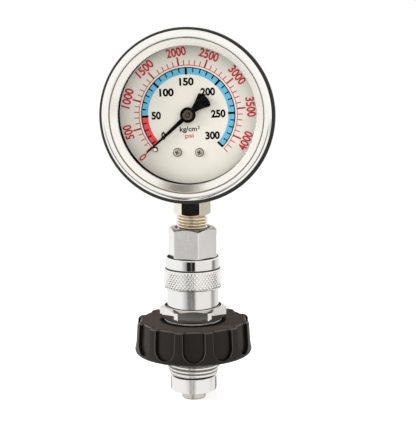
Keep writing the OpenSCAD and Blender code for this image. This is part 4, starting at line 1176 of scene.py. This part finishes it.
def build_wheel():
    low_round = 1.6
    top_round = 0.7
    side_top = WHEEL_TOP - top_round
    round_steps = 6
    bowl_steps = 18
    side_steps = 4
    quarter = math.pi / 2
    levels = []
    for k in range(round_steps + 1):
        a = quarter * k / round_steps
        levels.append((WHEEL_Z + low_round - low_round * math.cos(a), low_round * (1 - math.sin(a))))
    levels.append((FLUTE_LOW + 0.0005, 0.0))
    for k in range(1, bowl_steps + 1):
        levels.append((FLUTE_MID - FLUTE_HALF * math.cos(quarter * k / bowl_steps), 0.0))
    for k in range(1, side_steps + 1):
        levels.append((FLUTE_MID + (side_top - FLUTE_MID) * k / side_steps, 0.0))
    for k in range(1, round_steps + 1):
        a = quarter * k / round_steps
        levels.append((side_top + top_round * math.sin(a), top_round * (1 - math.cos(a))))
    rows = [wheel_row(z, inset) for z, inset in levels]
    angles = np.arctan2(rows[0][:, 1], rows[0][:, 0])
    seat = WHEEL_TOP - 0.9
    inner = turned_rings([
        (19.0, WHEEL_TOP), (14.4, WHEEL_TOP, 0.25), (13.85, WHEEL_TOP - 0.5), (13.85, seat),
        (12.5, seat), (12.5, THREAD_LEN), (17.5, THREAD_LEN, 0.3), (17.5, WHEEL_Z, 0.3)], angles)
    # Painted light and shade on the wheel: the flute walls are near black as painted shade, the flute lips
    # and top edge paler as painted highlight, and the top face paler as painted light.
    plain, edge, wall, top = range(4)
    half_flute = [plain] * 4 + [edge] * 3 + [wall] * 3 + [plain] * 3
    columns = half_flute + half_flute[::-1]
    last = len(levels) - 1

    def kind(i, k):
        if round_steps < i < last - round_steps:
            return columns[k % len(columns)]
        if last - 4 <= i < last - 1:
            return edge
        return plain if i < last else top

    wheel = loft("wheel_fluted", rows + inner, [WHEEL_PLASTIC, WHEEL_EDGE_HIGHLIGHT, WHEEL_WALL_SHADE, WHEEL_TOP_LIT],
                 sharp=24, face_material=kind)
    settle(wheel, "wheel", "handwheel")


build_wheel()


# Threaded insert and nose
def insert_finish(r, z):
    """1 is painted shadow, near black, on the flange and its rim. 2 is painted shade on the root of the
    thread.
    """
    if z > WHEEL_TOP - 0.6:
        return 1
    return 2 if r > 10.2 and INSERT_Z + 0.6 < z < THREAD_LEN - 0.1 else 0


def build_insert():
    root = 10.3
    thread_r = 11.4555
    body = lathe("insert_turned", [
        (8.08, INSERT_Z, 0.1), (9.8, INSERT_Z, 0.2), (root, INSERT_Z + 0.5, 0.2), (root, THREAD_LEN),
        (12.45, THREAD_LEN), (12.45, WHEEL_TOP - 0.9), (13.82, WHEEL_TOP - 0.9, 0.1),
        (13.82, WHEEL_TOP + 0.35, 0.3), (13.0, WHEEL_TOP + 0.35, 0.15), (12.8, WHEEL_TOP),
        (8.08, WHEEL_TOP, 0.2)], CHROME, others=(RECESS_SHADOW_BLACK, CHROME_BROWN_SHADE), where=insert_finish)
    pitch = 1.814
    bottom = INSERT_Z + 0.75
    length = THREAD_LEN - 0.45 - bottom
    ridge = grow("valve_thread", THREAD_TREE, {
        "Root Radius": root * MM, "Turns": length / pitch, "Length": length * MM, "Bottom": bottom * MM,
        "Depth": (thread_r - root) * MM, "Base": 1.5 * MM, "Crest": 0.85 * MM, "Taper": 2.6 * MM,
        "Taper Depth": 0.85 * MM, "Finish": THREAD_STEEL})
    settle(join("insert_threaded", [body, ridge]), "wheel", "threaded_insert")


build_insert()


def nose_finish(r, z):
    """1 is painted shadow on the rounded lower edges. 2 is painted shade, darker chrome, on the side of the
    tip.
    """
    if (r > 4.6 and z < TIP_BOTTOM + 0.5) or (r > 9.2 and z < NOSE_BOTTOM + 0.2):
        return 1
    return 2 if 5.0 < r < 5.3 and z < NOSE_BOTTOM else 0


def build_nose():
    tip_seat = TIP_BOTTOM + 4.7
    face_groove = NOSE_BOTTOM + 1.7
    ring_low = NOSE_TOP + 1.2
    ring_top = NOSE_TOP + 2.8
    shank_top = NOSE_TOP + 15
    nose = lathe("nose_chromed", [
        (2, tip_seat), (3.3, tip_seat), (3.3, TIP_BOTTOM, 0.2), (5.15, TIP_BOTTOM, 0.5),
        (5.15, NOSE_BOTTOM, 0.15), (5.9, NOSE_BOTTOM, 0.1), (5.9, face_groove), (8.3, face_groove),
        (8.3, NOSE_BOTTOM, 0.1), (10.1, NOSE_BOTTOM, 1.0), (10.1, NOSE_TOP, 0.35), (5.0, NOSE_TOP),
        (5.0, ring_low), (3.6, ring_low), (3.6, ring_top), (5.0, ring_top), (5.0, shank_top, 0.3),
        (2, shank_top)], CHROME_SATIN, others=(CHROME_BROWN_SHADE, CHROME_CONE_SHADE), where=nose_finish)
    settle(nose, "socket", "nose_retainer")


build_nose()


# Floor, light and camera
def build_stage():
    bpy.ops.mesh.primitive_circle_add(vertices=96, radius=0.4, fill_type="NGON",
                                      location=(0, 0, TIP_BOTTOM * MM - 0.0001))
    floor = bpy.context.object
    floor.name = "studio_floor"
    floor.visible_glossy = False
    material, tree, shader = new_material("floor_white")
    shader["Base Color"].default_value = (0.9, 0.9, 0.9, 1)
    shader["Roughness"].default_value = 0.9
    shader["Specular IOR Level"].default_value = 0.0
    shader["Emission Color"].default_value = (1, 1, 1, 1)
    seen = add(tree, "ShaderNodeLightPath").outputs["Is Camera Ray"]
    feed(tree, shader["Emission Strength"], times(seen, 0.6))
    floor.data.materials.append(material)


build_stage()


# Brightness of the room in reflections, by degrees round from behind the camera
ROOM_STOPS = [
    (-180, 0.9), (-140, 0.93), (-60, 0.93), (-42, 0.9), (-31, 0.56), (-24, 0.45), (-21, 0.36),
    (-18, 0.02), (-3, 0.006), (-0.5, 0.16), (1.5, 0.16), (4, 0.008), (14, 0.01), (18, 0.85), (91, 0.85),
    (97, 0.3), (110, 0.26), (114, 0.55), (122, 0.7), (150, 0.9), (179, 0.9)]


def fill_ramp(band):
    while len(band.elements) > 1:
        band.elements.remove(band.elements[0])
    for i, (angle, level) in enumerate(ROOM_STOPS):
        spot = angle / 360 + 0.5
        element = band.elements[0] if i == 0 else band.elements.new(spot)
        element.position = spot
        warm = 1.0 if level > 0.85 or level < 0.1 else 0.97
        element.color = (level, level * warm, level * warm * warm, 1)


def build_world():
    """White for the camera, soft light on the object, and a drawn room for the reflections."""
    world = bpy.data.worlds.new("studio_light")
    bpy.context.scene.world = world
    world.use_nodes = True
    tree = world.node_tree
    tree.nodes.clear()

    def step(value, start, end):
        return output(tree, "ShaderNodeMapRange", {"Value": value, "From Min": start, "From Max": end},
                   interpolation_type="SMOOTHSTEP")

    def mix(share, first, second):
        return add(tree, "ShaderNodeMix", {0: share, 6: first, 7: second}, data_type="RGBA").outputs[2]

    def light(colour, strength=1.0):
        return output(tree, "ShaderNodeBackground", {"Color": colour, "Strength": strength})

    def choose(share, first, second):
        return output(tree, "ShaderNodeMixShader", {0: share, 1: first, 2: second})

    way = add(tree, "ShaderNodeTexCoord").outputs["Generated"]
    x, y, z = add(tree, "ShaderNodeSeparateXYZ", {0: way}).outputs
    front = times(y, -1.0)
    turn = calc("ARCTAN2", x, front)
    ramp = add(tree, "ShaderNodeValToRGB", {0: calc("MULTIPLY_ADD", turn, 0.5 / math.pi, 0.5)})
    fill_ramp(ramp.color_ramp)
    walls = mix(step(z, -0.125, -0.09), ramp.outputs["Color"], (0.98, 0.972, 0.955, 1))
    # Two dark patches on the table in front, and its dark rear edge
    aside = calc("ABSOLUTE", plus(x, 0.047))
    patches = times(step(front, 0.33, 0.5), times(step(aside, 0.2, 0.165), step(aside, 0.03, 0.055)))
    dark = calc("MAXIMUM", times(step(z, -0.31, -0.345), patches), step(front, -0.72, -0.8))
    table = mix(dark, (0.95, 0.94, 0.92, 1), (0.06, 0.056, 0.052, 1))
    room = mix(step(z, -0.33, -0.234), table, walls)
    room = mix(step(z, 0.9, 0.97), room, (0.15, 0.13, 0.1, 1))
    path = add(tree, "ShaderNodeLightPath").outputs
    lit = choose(path["Is Glossy Ray"], light((1.0, 0.985, 0.96, 1), 0.7), light(room))
    seen = calc("MAXIMUM", path["Is Camera Ray"], path["Is Transmission Ray"])
    add(tree, "ShaderNodeOutputWorld", {"Surface": choose(seen, lit, light((1, 1, 1, 1)))})


build_world()


def soft_box(name, place, aim, size, power):
    data = bpy.data.lights.new(name, "AREA")
    data.shape = "RECTANGLE"
    data.size = size[0]
    data.size_y = size[1]
    data.energy = power
    lamp = link_object(name, data)
    lamp.visible_glossy = False
    lamp.location = place
    direction = Vector(aim) - Vector(place)
    lamp.rotation_euler = direction.to_track_quat("-Z", "Y").to_euler()


soft_box("key_left", (-0.75, -0.2, 0.4), (0, 0, 0.06), (0.4, 0.5), 6.0)
soft_box("fill_right", (0.5, -0.5, 0.5), (0, 0, 0.08), (0.4, 0.5), 0.7)


def build_camera():
    azimuth = math.radians(5.0)
    elevation = math.radians(9.18)
    roll = math.radians(-0.4)
    distance = 474.7
    focal = 1100.0
    sensor = 36
    picture = 424
    aside = 6.82
    aim_z = 68.98
    data = bpy.data.cameras.new("photo_camera")
    data.sensor_width = sensor
    data.lens = sensor * focal / picture
    data.clip_start = 0.01
    camera = link_object("photo_camera", data)
    aim = Vector((aside * math.cos(azimuth), aside * math.sin(azimuth), aim_z))
    back = Vector((math.sin(azimuth) * math.cos(elevation), -math.cos(azimuth) * math.cos(elevation),
                   math.sin(elevation)))
    camera.location = (aim + back * distance) * MM
    aimed = (-back).to_track_quat("-Z", "Y") @ Quaternion((0, 0, 1), roll)
    camera.rotation_euler = aimed.to_euler()
    bpy.context.scene.camera = camera


build_camera()
